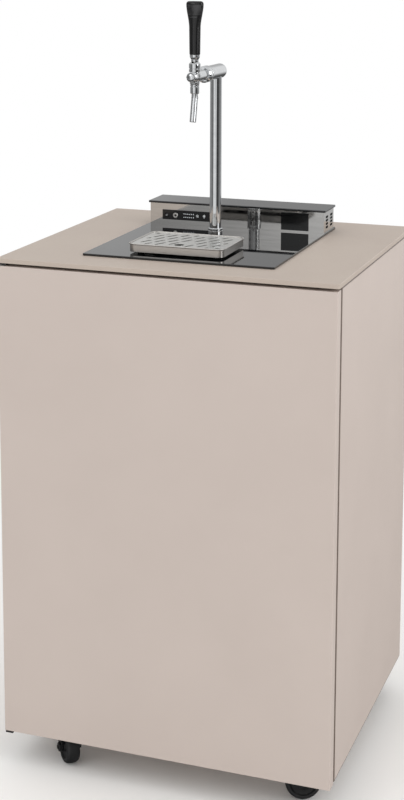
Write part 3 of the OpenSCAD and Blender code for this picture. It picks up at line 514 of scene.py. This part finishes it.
def polishedPhenolic(name):  # phenolic, moulded and buffed: deep black gloss, the label face left satin grey
    material, tree, shader, spot = startMaterial(name, IOR=1.5, Metallic=0.0)
    buff = grainField(tree, spot, 6, stretch=(1, 1, 0.25), detail=3)
    coat(tree, shader, ("#080809", "#101011"), buff, (0.2, 0.34), buff, (buff, 0.015, 0.25),
         ("#3A3A3B", 0.42, grainField(tree, spot, 14, detail=3)))
    return material


def castRubber(name, hexA, hexB):  # rubber: matt, dusty grey on the eased edges
    material, tree, shader, spot = startMaterial(name, IOR=1.52, Metallic=0.0)
    dust = grainField(tree, spot, 7, detail=4)
    coat(tree, shader, (hexA, hexB), dust, (0.5, 0.75), dust, (grainField(tree, spot, 0.8), 0.03, 0.5),
         ("#333334", 0.6, dust))
    return material


def lampCover(name):  # clear polycarbonate light guide, faintly lit
    material, tree, shader, spot = startMaterial(name, IOR=1.58, Metallic=0.0)
    shader.inputs["Emission Color"].default_value = linear("#E8F1FF")
    shader.inputs["Emission Strength"].default_value = 0.1
    glow = grainField(tree, spot, 1.2)
    coat(tree, shader, ("#CDD2D6", "#F2F5F7"), glow, (0.2, 0.3), glow)
    return material


def printedInk(name):  # white screen print, slightly broken
    material, tree, shader, spot = startMaterial(name, IOR=1.5, Metallic=0.0)
    ink = grainField(tree, spot, 0.6)
    coat(tree, shader, ("#B9BDBF", "#E6E8E8"), ink, (0.4, 0.5), ink)
    return material


def foamBoard(name):  # cut polyurethane foam: pale, open fine cells
    material, tree, shader, spot = startMaterial(name, IOR=1.45, Metallic=0.0)
    grain = addNode(tree, "ShaderNodeTexVoronoi", {"Vector": spot, "Scale": 1 / (2.5 * mm)})
    cells = grain.outputs["Distance"]
    coat(tree, shader, ("#D8CFB4", "#EDE7D2"), cells, (0.85, 0.95), cells, (cells, 0.3, 0.6))
    return material


bodyLaminate = pressedLaminate("beigeLaminate", "#C2B5AD", "#C5B8B0", "#CEC2BA")
sideLaminate = pressedLaminate("beigeSideLaminate", "#C2B5AD", "#C5B8B0", "#65574E", 0.85)  # dark edge tone over nearly all eased edges: painted shade for the shadow gaps at the door and under the counter
# the counter top is a little darker than the door and sides: partly a browner laminate, partly painted shade on
# its upward face
topLaminate = pressedLaminate("beigeCounterLaminate", "#B4A69B", "#B8AB9F", "#B9ACA1")
# the front rail's dark brown is painted shade: the rail shows only in the shadow gap under the counter
railShadeLaminate = pressedLaminate("railPaintedShadeLaminate", "#4A3F37", "#544840", "#665A50")
blackGlass = backPaintedGlass("backPaintedBlackGlass")
boxSteel = mirrorSteel("mirrorPolishedStainless")
chrome = chromePlate("chromedBrass")
gridSteel = brushedSteel("brushedStainlessGrid", (0.03, 1, 1), "#CBCAC6", "#DAD9D6", (0.26, 0.36))
traySteel = brushedSteel("brushedStainlessTray", (0.03, 0.6, 1), "#BEBAB6", "#CCC9C5", (0.26, 0.38))
turnedSteel = brushedSteel("turnedStainless", (1, 1, 0.1))
satinChrome = chromePlate("satinChromedSpout", (0.2, 0.28))
finAluminium = brushedSteel("millAluminium", (1, 1, 0.05), "#C6C8CA", "#DADBDC", (0.3, 0.42))
screwZinc = brushedSteel("zincPlatedScrew", (1, 1, 1), "#AEB0B0", "#C9CBCB", (0.25, 0.4))
plateZinc = zincSheet("galvanisedSheet")
blackCoat = paintedSteel("blackPowderCoat", "#101011", "#181819")
blackGloss = mouldedPlastic("glossBlackAcrylic", "#08090A", "#0E0F10", "#1C1D1E", (0.06, 0.14), 8)
blackNylon = mouldedPlastic("blackNylon", "#141415", "#1D1D1E", "#2E2E2F")
whiteNylon = mouldedPlastic("whiteNylon", "#D6D5CF", "#E4E3DE", "#EDECE8")
boardGreen = mouldedPlastic("greenSolderMask", "#12421F", "#1A5428", "#2A6A38", (0.25, 0.4), 3)
handleBlack = polishedPhenolic("buffedBlackPhenolic")
wheelRubber = castRubber("blackWheelRubber", "#141415", "#202021")
footRubber = castRubber("greyFootRubber", "#1B1B1C", "#2A2A2B")
lampWhite = lampCover("clearLampCover")
inkWhite = printedInk("whiteScreenPrint")
coolFoam = foamBoard("polyurethaneFoam")
print("finishes made")


# cabinet

cabinetBoards = {"counter_top": (0.9, topLaminate), "door_panel": (3.0, bodyLaminate),
                 "left_side_panel": (5.0, sideLaminate), "right_side_panel": (5.0, sideLaminate),
                 "back_panel": (0.4, bodyLaminate), "base_board": (0.5, bodyLaminate)}  # edge in mm, finish
for node, (edge, finish) in cabinetBoards.items():
    board = softened(node, finish, edge, 3)
    if finish is sideLaminate:  # painted shade: the dark tone covers the shut-in faces and the edges behind the door and under the counter
        hollows(board, 25, "door_panel", "counter_top", start=0.15, faces=True)
# painted shade: the dark rail fills the shadow gap above the door
softened("front_rail", railShadeLaminate, 0.5)
softened("hinge_leaves", blackCoat, 0.4)
softened("latch_body", whiteNylon, 0.8, 3)
softened("latch_plunger", whiteNylon, 0.6, 3)
dressed("hinge_bushes", whiteNylon)

screwSetup = {"panelRadius": 3.6, "smallRadius": 2.6, "panelInset": 24, "panelAcross": (-240, -80, 80, 240),
              "panelUp": (180, 420, 660, 880), "leafInset": 7, "leafAlong": (-232, -212),
              "latchAlong": (-231, -207), "inletReach": 17, "caseReach": 138, "caseUp": (598, 900)}  # mm


def screwed(name, spots, radiusMm):  # zinc plated screws of the cabinet
    grown(name, aimedPoints(name, spots), crossScrews, radiusMm, screwZinc, "cabinet", "zinc_steel")


panelBack, baseMiddle = span("back_panel", 1)[1], middle("base_board").z / mm
sideX = span("right_side_panel", 0)[1] - screwSetup["panelInset"]
panelScrews = [((x, panelBack, baseMiddle), back) for x in screwSetup["panelAcross"]]
panelScrews += [((x, panelBack, z), back) for x in (-sideX, sideX) for z in screwSetup["panelUp"]]
screwed("panel_screws", panelScrews, screwSetup["panelRadius"])

leafX, leafUnder = span("hinge_leaves", 0)[0] + screwSetup["leafInset"], span("hinge_leaves", 2)[0]
latchX, latchUnder = middle("latch_body").x / mm, span("latch_body", 2)[0]
inletX, inletBack, inletZ = screwSetup["inletReach"], span("power_inlet", 1)[1], middle("power_inlet").z / mm
caseX, caseFront = screwSetup["caseReach"], span("cooler_casing", 1)[0]
smallScrews = [((leafX, y, leafUnder), down) for y in screwSetup["leafAlong"]]
smallScrews += [((x, inletBack, inletZ), back) for x in (-inletX, inletX)]
smallScrews += [((latchX, y, latchUnder), down) for y in screwSetup["latchAlong"]]
smallScrews += [((x, caseFront, z), forth) for x in (-caseX, caseX) for z in screwSetup["caseUp"]]
screwed("small_screws", smallScrews, screwSetup["smallRadius"])
print("cabinet done")


# casters

casterShape = {"wheelWidth": 24, "treadCrown": 0.6, "edge": 0.5, "headReach": 16.2, "nutRadius": 8.3,
               "nutEdge": 0.4, "plateThick": 3, "plateScrew": 20, "screwRadius": 3.6}  # mm
casterCorners = ("fl", "fr", "bl", "br")


def wheelProfile(radius):  # crowned tread, dished sides and a raised hub, mm
    half, crown = casterShape["wheelWidth"] / 2, casterShape["treadCrown"]
    side = [(4.05, half, 0), (9.6, half, 0.6), (10.4, half - 3.6, 1.2), (radius - 9.4, half - 3.9, 1.6),
            (radius - 8.2, half, 1.0), (radius - 3.2, half, 3.0)]
    tread = [(radius - crown, half - 4.5, 2), (radius, 0, 0), (radius - crown, -half + 4.5, 2)]
    return filleted(side + tread + [(r, -h, f) for r, h, f in reversed(side)], 0.5, 4)


for corner in casterCorners:
    hub, axle = middle("wheel_" + corner), Vector(jointOf["roll_" + corner]["axis"])
    wheelLow, wheelHigh = span("wheel_" + corner, 2)
    profile = wheelProfile((wheelHigh - wheelLow) / 2)
    standIn("wheel_" + corner, lathe("wheel", profile, along(hub, axle)), wheelRubber)
    softened("fork_" + corner, blackCoat, casterShape["edge"])
    ends = [(hub / mm + axle * side * casterShape["headReach"], axle * side) for side in (-1, 1)]
    grown("axle_nuts_" + corner, aimedPoints("ends", ends), axleNuts, casterShape["nutRadius"], blackCoat,
          "swivel_" + corner, "black_steel", casterShape["nutEdge"])
softened("caster_plates", blackCoat, casterShape["edge"])
plateUnder = span("base_board", 2)[0] - casterShape["plateThick"]
reach = casterShape["plateScrew"]
plateScrews = []
for corner in casterCorners:
    pivot = Vector(jointOf["swivel_" + corner]["pos_m"]) / mm
    spots = [(pivot.x + i, pivot.y + j, plateUnder) for i in (-reach, reach) for j in (-reach, reach)]
    plateScrews += [(spot, down) for spot in spots]
screwed("plate_screws", plateScrews, casterShape["screwRadius"])
print("casters done")


# glass plate and rear box

boxPieces = {"glass_plate": (blackGlass, 0.7, 3), "box_lid": (blackGlass, 1.1, 4),  # finish, edge mm, steps
             "box_shell": (boxSteel, 0.45, 2), "control_strip": (blackGloss, 0.25, 2),
             "badge_plate": (blackGloss, 0.3, 2), "control_board": (boardGreen, 0.15, 1)}
for node, (finish, edge, steps) in boxPieces.items():
    softened(node, finish, edge, steps)
dressed("lamps", lampWhite)

keys = {"power_button": (4.2, 0.0, blackGloss), "set_button": (5.0, 2.1, turnedSteel)}  # radius, hollow
keyShape = {"flange": (4.8, 5.8), "flangeReach": 0.9, "ring": (0.72, 0.68, 0.6, 0.56), "groove": 0.35,
            "sink": 0.7, "round": 0.6, "centre": 0.1}  # mm, the ring as shares of the radius


def keyMesh(node, radius, hollow):  # cap with a flange behind the strip, its face ringed or hollow
    front, rear = span(node, 1)
    seat, face = Vector((middle(node).x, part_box(node)[1].y, middle(node).z)), rear - front
    floor, sunk = face - keyShape["groove"], face - keyShape["sink"]
    if hollow:
        inner = [(hollow, face), (hollow, sunk), (0, sunk)]
    else:
        inner = [(radius * share, z) for share, z in zip(keyShape["ring"], (face, floor, floor, face))]
        inner.append((0, face))
    wide, (low, high) = radius + keyShape["flangeReach"], keyShape["flange"]
    flange = [(radius, low), (wide, low), (wide, high), (radius, high)]
    outline = [(0, 0), (radius, 0)] + flange + [(radius, face, keyShape["round"])] + inner
    return lathe(node, filleted(outline, 0.15, 3), along(seat, forth), 64)


for node, (radius, hollow, finish) in keys.items():
    standIn(node, keyMesh(node, radius, hollow), finish)


def drawn(name, paths, place, lineMm, body, slot):  # printed lines on a face that looks forward
    points = [[Vector((place.x + x * mm, place.y, place.z + z * mm)) for x, z in path] for path in paths]
    grown(name, pathMesh(name, points), beads, lineMm, inkWhite, body, slot)


def snowflake(size):  # six arms, each with two twigs
    twigAt, twigSize, twigTurn = size * 0.55, size * 0.4, 0.7
    lines = []
    for turn in range(30, 390, 60):
        a = math.radians(turn)
        lines.append([(0, 0), (size * math.cos(a), size * math.sin(a))])
        fork = (twigAt * math.cos(a), twigAt * math.sin(a))
        for b in (a - twigTurn, a + twigTurn):
            lines.append([fork, (fork[0] + twigSize * math.cos(b), fork[1] + twigSize * math.sin(b))])
    return lines


signs = {"powerLine": 0.24, "coldLine": 0.3, "coldSize": 3.0, "coldPlace": 17.5, "beerLine": 0.45,
         "beerPlace": 31}  # mm
powerSign = [circle(0, 0, 1.5, 125, 415), [(0, 0.3), (0, 2.0)]]
beerSign = [circle(0, 0.6, 2.1), circle(0, 0.6, 1.3), [(-0.7, -2.4), (0.7, -2.4)], [(0, -3.4), (0, -2.4)]]
coldPlace = frontOf("control_strip") + Vector((signs["coldPlace"] * mm, 0, 0))
beerPlace = frontOf("control_strip") + Vector((signs["beerPlace"] * mm, 0, 0))
drawn("power_sign", powerSign, frontOf("power_button"), signs["powerLine"], "power_key", "lamp")
drawn("cold_sign", snowflake(signs["coldSize"]), coldPlace, signs["coldLine"], "cabinet", "lamp")
drawn("beer_sign", beerSign, beerPlace, signs["beerLine"], "cabinet", "lamp")
centre, hollow = keyShape["centre"], keys["set_button"][1]
centreSeat = frontOf("set_button") + Vector((0, (keyShape["sink"] - centre) * mm, 0))
centreOutline = [(0, 0), (hollow, 0), (hollow, centre), (0, centre)]
centreMesh = lathe("centre", centreOutline, along(centreSeat, forth), 48)
finishPiece(placed("set_centre", centreMesh), blackGloss, "set_key", "black_plastic")
print("rear box done")


# tower and tap

tower = {"tubeRadius": 10.4, "boreRadius": 8.0, "stubRadius": 9.4, "ringRadius": 13.0, "ringBore": 10.45,
         "ringHeight": 21.0, "headRadius": 13.0, "headRound": 13.65, "nutRadius": 14.5, "nutBore": 8.95}  # mm
columnFoot = Vector((middle("column_base").x, middle("column_base").y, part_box("column_base")[0].z))
tapMiddle = Vector((0, middle("nozzle").y, middle("column_head").z))

bore, stub, tube = tower["boreRadius"], tower["stubRadius"], tower["tubeRadius"]
tubeLow, tubeHigh = span("column_tube", 2, columnFoot.z)
tubeOutline = [(bore, tubeLow), (stub, tubeLow), (stub, 0), (tube, 0), (tube, tubeHigh), (bore, tubeHigh)]
standIn("column_tube", lathe("tube", tubeOutline, along(columnFoot, up), 128), chrome)

ring, bore, tall = tower["ringRadius"], tower["ringBore"], tower["ringHeight"]
ringOutline = [(bore, 0), (ring, 0), (ring, tall - 5), (ring - 0.6, tall - 4.6), (ring - 0.6, tall - 4),
               (ring, tall - 3.6), (ring, tall - 1.1), (ring - 1.1, tall), (bore, tall)]
ringMesh = lathe("ring", filleted(ringOutline, 0.35, 3, True), along(columnFoot, up), 128)
# the hollow marks on these chrome pieces paint shade into their recesses
hollows(standIn("column_base", ringMesh, chrome), 6, "column_tube")

headFront = Vector((0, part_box("column_head")[0].y, tapMiddle.z))
head, headLength = tower["headRadius"], span("column_head", 1, headFront.y)[1]
headOutline = [(0, 0), (head, 0, 0.5), (head, headLength, tower["headRound"]), (0, headLength)]
standIn("column_head", lathe("head", filleted(headOutline, 0.5, 14), along(headFront, back), 128), chrome)

nutFront = Vector((0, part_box("shank_nut")[0].y, tapMiddle.z))
nut, bore, long = tower["nutRadius"], tower["nutBore"], span("shank_nut", 1, nutFront.y)[1]
nutOutline = [(bore, 0), (nut - 3, 0), (nut, 3.2), (nut, long - 7.4), (nut - 0.8, long - 6.8),
              (nut - 0.8, long - 5.6), (nut, long - 5), (nut, long - 1), (nut - 1, long), (bore, long)]
nutMesh = lathe("nut", filleted(nutOutline, 0.6, 3, True), along(nutFront, back), 128)
hollows(standIn("shank_nut", nutMesh, chrome), 6)

capBack = Vector((0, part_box("front_cap")[1].y, tapMiddle.z))
capOutline = [(0, 0), (5.9, 0), (5.9, 3), (9.0, 3), (9.0, 5.0), (8.0, 6.0), (8.0, 9.0), (7.6, 9.6),
              (7.2, 9.6), (7.2, 7.8), (6.2, 7.8), (6.2, 9.1), (4.4, 9.9, 3), (2.2, 10.35, 4), (0, 10.5)]
capMesh = lathe("cap", filleted(capOutline, 0.25, 3), along(capBack, forth), 96)
hollows(standIn("front_cap", capMesh, chrome), 5)

hollows(softened("collar_nut", chrome, 0.4, 3), 9, "lever")
hollows(softened("nozzle", chrome, 0.3, 3), 8, "spout")
softened("spout", satinChrome, 0.3, 3)
softened("ferrule", chrome, 0.4, 3)


tapCast = {"voxel": 0.4, "passes": 6, "wall": 0.7, "free": 0.2}  # free is left round the piston, mm


def castSkin(node, bore, start, end):  # a casting's rounded corners, but the bore kept open
    piece = placed(node + "_skin", mergedCopy(node))
    remesh = piece.modifiers.new("cast", "REMESH")
    remesh.mode, remesh.voxel_size = "VOXEL", tapCast["voxel"] * mm
    settle(piece)
    across = [Vector((v.co.x - tapMiddle.x, 0, v.co.z - tapMiddle.z)) for v in piece.data.vertices]
    outside = piece.vertex_groups.new(name="outside")
    beyond = bore + tapCast["wall"] * mm
    outside.add([k for k, reach in enumerate(across) if reach.length > beyond], 1.0, "REPLACE")
    polish = piece.modifiers.new("polish", "SMOOTH")
    polish.factor, polish.iterations, polish.vertex_group = 0.5, tapCast["passes"], "outside"
    settle(piece)
    for v, reach in zip(piece.data.vertices, across):
        short = bore - reach.length
        if short > 0 and start < v.co.y < end:
            v.co += reach.normalized() * short if short < end - v.co.y else Vector((0, end - v.co.y, 0))
    smoothed(piece.data, 60)
    return finishPiece(piece, chrome, bodyOf[node], slotOf[node], node)


pistonLow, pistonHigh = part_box("valve_piston")
travel, free = jointOf["valve_slide"]["range_m"][1], tapCast["free"] * mm
bodySkin = castSkin("tap_body", pistonHigh.z - tapMiddle.z + free, pistonLow.y - free,
                    pistonHigh.y + travel + free)
# painted shade in the tap body's recesses
hollows(bodySkin, 5, "front_cap", "collar_nut", "nozzle")

grip = {"low": 9.2, "slope": 1.4, "flare": 5.4, "flareSpan": (0.5, 0.95), "depth": (9.0, 8.6), "round": 4.6,
        "footCut": 0.5, "straightTo": 0.94, "roundFrom": 0.945, "label": (0.735, 0.94), "labelEdge": 2.2,
        "labelDeep": 0.7, "labelHalf": 13, "labelFloor": 8.3, "lipWidth": 0.3, "lip": 0.005,
        "band": (0.695, 0.715), "bandHalf": 6.3, "faceSteps": 48, "restSteps": 80,
        "topSteps": 8}  # mm, and heights as shares of the handle
handleLow = Vector((middle("tap_handle").x, middle("tap_handle").y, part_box("tap_handle")[0].z))
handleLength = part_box("tap_handle")[1].z - handleLow.z
labelLow, labelHigh = grip["label"]
bandLow, bandHigh = grip["band"]


def gripLoop(t, cut, panel):  # one section of the handle; the label's edge always falls on the same points
    low, high = grip["flareSpan"]
    share = min(1, max(0, (t - low) / (high - low)))
    flare = share * share * (3 - 2 * share)
    wide = grip["low"] + grip["slope"] * min(t, low) + grip["flare"] * flare - cut
    deepLow, deepHigh = grip["depth"]
    deep = deepLow + (deepHigh - deepLow) * t - cut * 0.8
    half = math.asin((wide - grip["labelEdge"]) / wide)
    lip = half + grip["lipWidth"] / wide
    faceSteps, restSteps = grip["faceSteps"], grip["restSteps"]
    face = [half * (2 * k / faceSteps - 1) for k in range(faceSteps + 1)]
    rest = [lip + (2 * math.pi - 2 * lip) * k / restSteps for k in range(restSteps + 1)]
    z = handleLow.z + t * handleLength
    loop = []
    for k, turn in enumerate(face + rest):
        sink = grip["labelDeep"] if panel and k < len(face) else 0
        loop.append(Vector((handleLow.x + wide * math.sin(turn) * mm,
                            handleLow.y - (deep * math.cos(turn) - sink) * mm, z)))
    return loop


def markLabel(mesh):  # label face and the light band below it get the satin grey second tone
    marks = []
    for face in mesh.polygons:
        spot = face.center
        t, aside = (spot.z - handleLow.z) / handleLength, abs(spot.x - handleLow.x) / mm
        front = face.normal.y < -0.35 and spot.y < handleLow.y
        sunk = (handleLow.y - spot.y) / mm < grip["labelFloor"]
        label = labelLow + grip["lip"] < t < labelHigh and aside < grip["labelHalf"] and sunk
        band = bandLow < t < bandHigh and aside < grip["bandHalf"]
        marks.append(1.0 if front and (band or label) else 0.0)
    mesh.attributes.new("second_tone", "FLOAT", "FACE").data.foreach_set("value", marks)
    return mesh


heights = [k / 60 * grip["straightTo"] for k in range(61)] + [bandLow, bandHigh]
heights = sorted(heights + [edge + lip for edge in grip["label"] for lip in (0, grip["lip"])])
panelLow = labelLow + grip["lip"]
loops = [gripLoop(t, 0 if t else grip["footCut"], panelLow <= t <= labelHigh) for t in heights]
for k in range(1, grip["topSteps"] + 1):  # rounded top
    turn = math.pi / 2 * k / grip["topSteps"]
    rise = (1 - grip["roundFrom"]) * math.sin(turn)
    loops.append(gripLoop(grip["roundFrom"] + rise, grip["round"] * (1 - math.cos(turn)), False))
handleMesh = loft("handle", loops, 35)
standIn("tap_handle", markLabel(handleMesh), handleBlack)
dressed("lever", turnedSteel)
dressed("valve_piston", turnedSteel)
softened("column_nut", turnedSteel, 0.4, 2)
print("tower done")


# drip tray

trayShape = {"edge": 0.4, "gridEdge": 0.25, "footEdge": 0.8, "slotLip": 0.3, "rimBead": 0.9}  # mm
# painted shade in the tray's well under the grid
hollows(softened("drip_tray", traySteel, trayShape["edge"], 3), 30, "drip_grid")
softened("drip_grid", gridSteel, trayShape["gridEdge"], 2)
grown("slot_lips", topLoops("drip_grid", False), beads, trayShape["slotLip"], gridSteel, "grid", "steel")
grown("tray_bead", topLoops("drip_tray", True), beads, trayShape["rimBead"], traySteel, "tray", "steel")
softened("tray_feet", footRubber, trayShape["footEdge"], 3)
print("tray done")


# cooler

for node, edge in {"cooler_casing": 0.4, "cooler_base": 0.3}.items():
    softened(node, plateZinc, edge)
for node, finish in {"compressor": blackCoat, "compressor_feet": footRubber, "condenser": finAluminium,
                     "fan_shroud": blackNylon, "fan_motor": blackCoat, "fan_rotor": blackNylon,
                     "cooling_block": finAluminium, "insulation": coolFoam, "beer_line": whiteNylon}.items():
    dressed(node, finish)
softened("beer_inlet", turnedSteel, 0.4)
softened("power_inlet", blackNylon, 0.4)
print("cooler done")


# stage

stageSetup = {"floorRadius": 3.4, "floorFade": (1.1, 3.2), "backdrop": 1.0, "fill": (0.92, 0.99),
              "fillSpan": (-0.6, 0.4), "ceiling": 0.8, "ceilingSpan": (0.3, 0.75), "ground": (0.65, 0.1),
              "groundTilt": -0.18, "groundEdge": (-0.24, -0.34), "groundFade": (-0.32, -0.45)}
roomTones = {-180: 0.26, -150: 0.3, -144: 0.3, -140: 0.07, -133: 0.07, -128: 0.33, -116: 0.45, -108: 0.9,
             -104: 1.6, -99: 0.85, -72: 0.8, -60: 0.85, -54: 0.06, -20: 0.06, -8: 0.18, 20: 0.3, 40: 0.34,
             52: 0.4, 62: 0.95, 85: 0.9, 97: 0.55, 108: 0.5, 112: 0.75, 122: 0.65, 140: 0.45,
             165: 0.3}  # wall brightness by compass angle


def makeFloor():  # a pale round floor that fades into the backdrop
    work = bmesh.new()
    bmesh.ops.create_circle(work, cap_ends=True, segments=128, radius=stageSetup["floorRadius"])
    floor = placed("floor", meshFrom(work, "floor"))
    material, tree, shader, spot = startMaterial("paleFloor", Metallic=0.0)
    cloud = grainField(tree, spot, 900)
    coat(tree, shader, ("#F0EFED", "#F4F3F1"), cloud, (0.7, 0.8), cloud)
    away = addNode(tree, "ShaderNodeVectorMath", {0: spot}, operation="LENGTH").outputs["Value"]
    near, far = stageSetup["floorFade"]
    fade = addNode(tree, "ShaderNodeMapRange", {"Value": away, "From Min": near, "From Max": far,
                                                "To Min": 1.0, "To Max": 0.0},
                   interpolation_type="SMOOTHSTEP").outputs[0]
    tree.links.new(fade, shader.inputs["Alpha"])
    floor.data.materials.append(material)
    floor.visible_glossy = False  # metal mirrors the room's own dark ground


def makeWorld():  # even light on matt faces, a plain backdrop, and a banded room for metal and glass
    world = bpy.data.worlds.new("studio")
    bpy.context.scene.world = world
    world.use_nodes = True
    tree = world.node_tree
    tree.nodes.clear()
    way = addNode(tree, "ShaderNodeTexCoord").outputs["Generated"]
    x, y, z = addNode(tree, "ShaderNodeSeparateXYZ", {"Vector": way}).outputs
    turn = addNode(tree, "ShaderNodeMath", {0: y, 1: x}, operation="ARCTAN2").outputs[0]
    share = addNode(tree, "ShaderNodeMapRange", {"Value": turn, "From Min": -math.pi, "From Max": math.pi})
    walls = addNode(tree, "ShaderNodeValToRGB", {"Fac": share.outputs[0]})
    stops = walls.color_ramp.elements
    stops[1].position = 1.0
    stops[0].color = stops[1].color = [roomTones[-180]] * 3 + [1.0]
    for angle, tone in list(roomTones.items())[1:]:
        stops.new((angle + 180) / 360).color = [tone] * 3 + [1.0]
    start, end = stageSetup["ceilingSpan"]
    high = addNode(tree, "ShaderNodeMapRange", {"Value": z, "From Min": start, "From Max": end}).outputs[0]
    room = addNode(tree, "ShaderNodeMix", {0: high, 2: walls.outputs["Color"], 3: stageSetup["ceiling"]},
                   data_type="FLOAT").outputs[0]
    depth = addNode(tree, "ShaderNodeMath", {0: y, 1: stageSetup["groundTilt"], 2: z},
                    operation="MULTIPLY_ADD").outputs[0]
    start, end = stageSetup["groundEdge"]
    low = addNode(tree, "ShaderNodeMapRange", {"Value": depth, "From Min": start, "From Max": end}).outputs[0]
    (start, end), (near, far) = stageSetup["groundFade"], stageSetup["ground"]
    ground = addNode(tree, "ShaderNodeMapRange", {"Value": depth, "From Min": start, "From Max": end,
                                                  "To Min": near, "To Max": far}).outputs[0]
    room = addNode(tree, "ShaderNodeMix", {0: low, 2: room, 3: ground}, data_type="FLOAT").outputs[0]
    (start, end), (under, over) = stageSetup["fillSpan"], stageSetup["fill"]
    fill = addNode(tree, "ShaderNodeMapRange", {"Value": z, "From Min": start, "From Max": end,
                                                "To Min": under, "To Max": over}).outputs[0]
    ray = addNode(tree, "ShaderNodeLightPath").outputs
    lit = addNode(tree, "ShaderNodeMix", {0: ray["Is Glossy Ray"], 2: fill, 3: room}, data_type="FLOAT")
    strength = addNode(tree, "ShaderNodeMix", {0: ray["Is Camera Ray"], 2: lit.outputs[0],
                                               3: stageSetup["backdrop"]}, data_type="FLOAT").outputs[0]
    glow = addNode(tree, "ShaderNodeBackground", {"Color": linear("#FFFFFF"), "Strength": strength})
    addNode(tree, "ShaderNodeOutputWorld", {"Surface": glow.outputs[0]})


softboxes = {"keyBox": ((-1.6, -3.0, 3.0), (0, 0, 0.8), (1.6, 2.0), 14),
             "sideBox": ((3.2, -0.8, 2.0), (0, 0, 0.3), (1.4, 2.0), 29)}  # place, target and size in m, watts


def softbox(name, place, target, size, power):  # an area light that looks at its target
    light = bpy.data.lights.new(name, "AREA")
    light.shape, light.size, light.size_y, light.energy = "RECTANGLE", size[0], size[1], power
    lamp = bpy.data.objects.new(name, light)
    bpy.context.scene.collection.objects.link(lamp)
    lamp.location = place
    lamp.rotation_euler = (Vector(target) - Vector(place)).to_track_quat("-Z", "Y").to_euler()


cameraSetup = {"place": (0.9046, -2.6523, 1.4515), "yaw": 0.3536, "pitch": 0.1531, "roll": 0.0005,
               "lens": 71.75, "sensor": 36, "shift": (0.0332, -0.27)}  # metres, radians and mm


def makeCamera():  # the photo's view
    yaw, pitch, roll = (cameraSetup[k] for k in ("yaw", "pitch", "roll"))
    forward = Vector((-math.sin(yaw) * math.cos(pitch), math.cos(yaw) * math.cos(pitch), -math.sin(pitch)))
    right = Vector((math.cos(yaw), math.sin(yaw), 0))
    top = right.cross(forward)
    across = right * math.cos(roll) + top * math.sin(roll)
    upward = top * math.cos(roll) - right * math.sin(roll)
    data = bpy.data.cameras.new("camera")
    data.lens, data.sensor_width = cameraSetup["lens"], cameraSetup["sensor"]
    data.shift_x, data.shift_y = cameraSetup["shift"]
    camera = bpy.data.objects.new("camera", data)
    bpy.context.scene.collection.objects.link(camera)
    turn = Matrix((across, upward, -forward)).transposed().to_4x4()
    camera.matrix_world = Matrix.Translation(cameraSetup["place"]) @ turn
    bpy.context.scene.camera = camera


makeFloor()
makeWorld()
for name, setup in softboxes.items():
    softbox(name, *setup)
makeCamera()
bpy.context.scene.view_settings.view_transform = "Standard"
print("stage done")
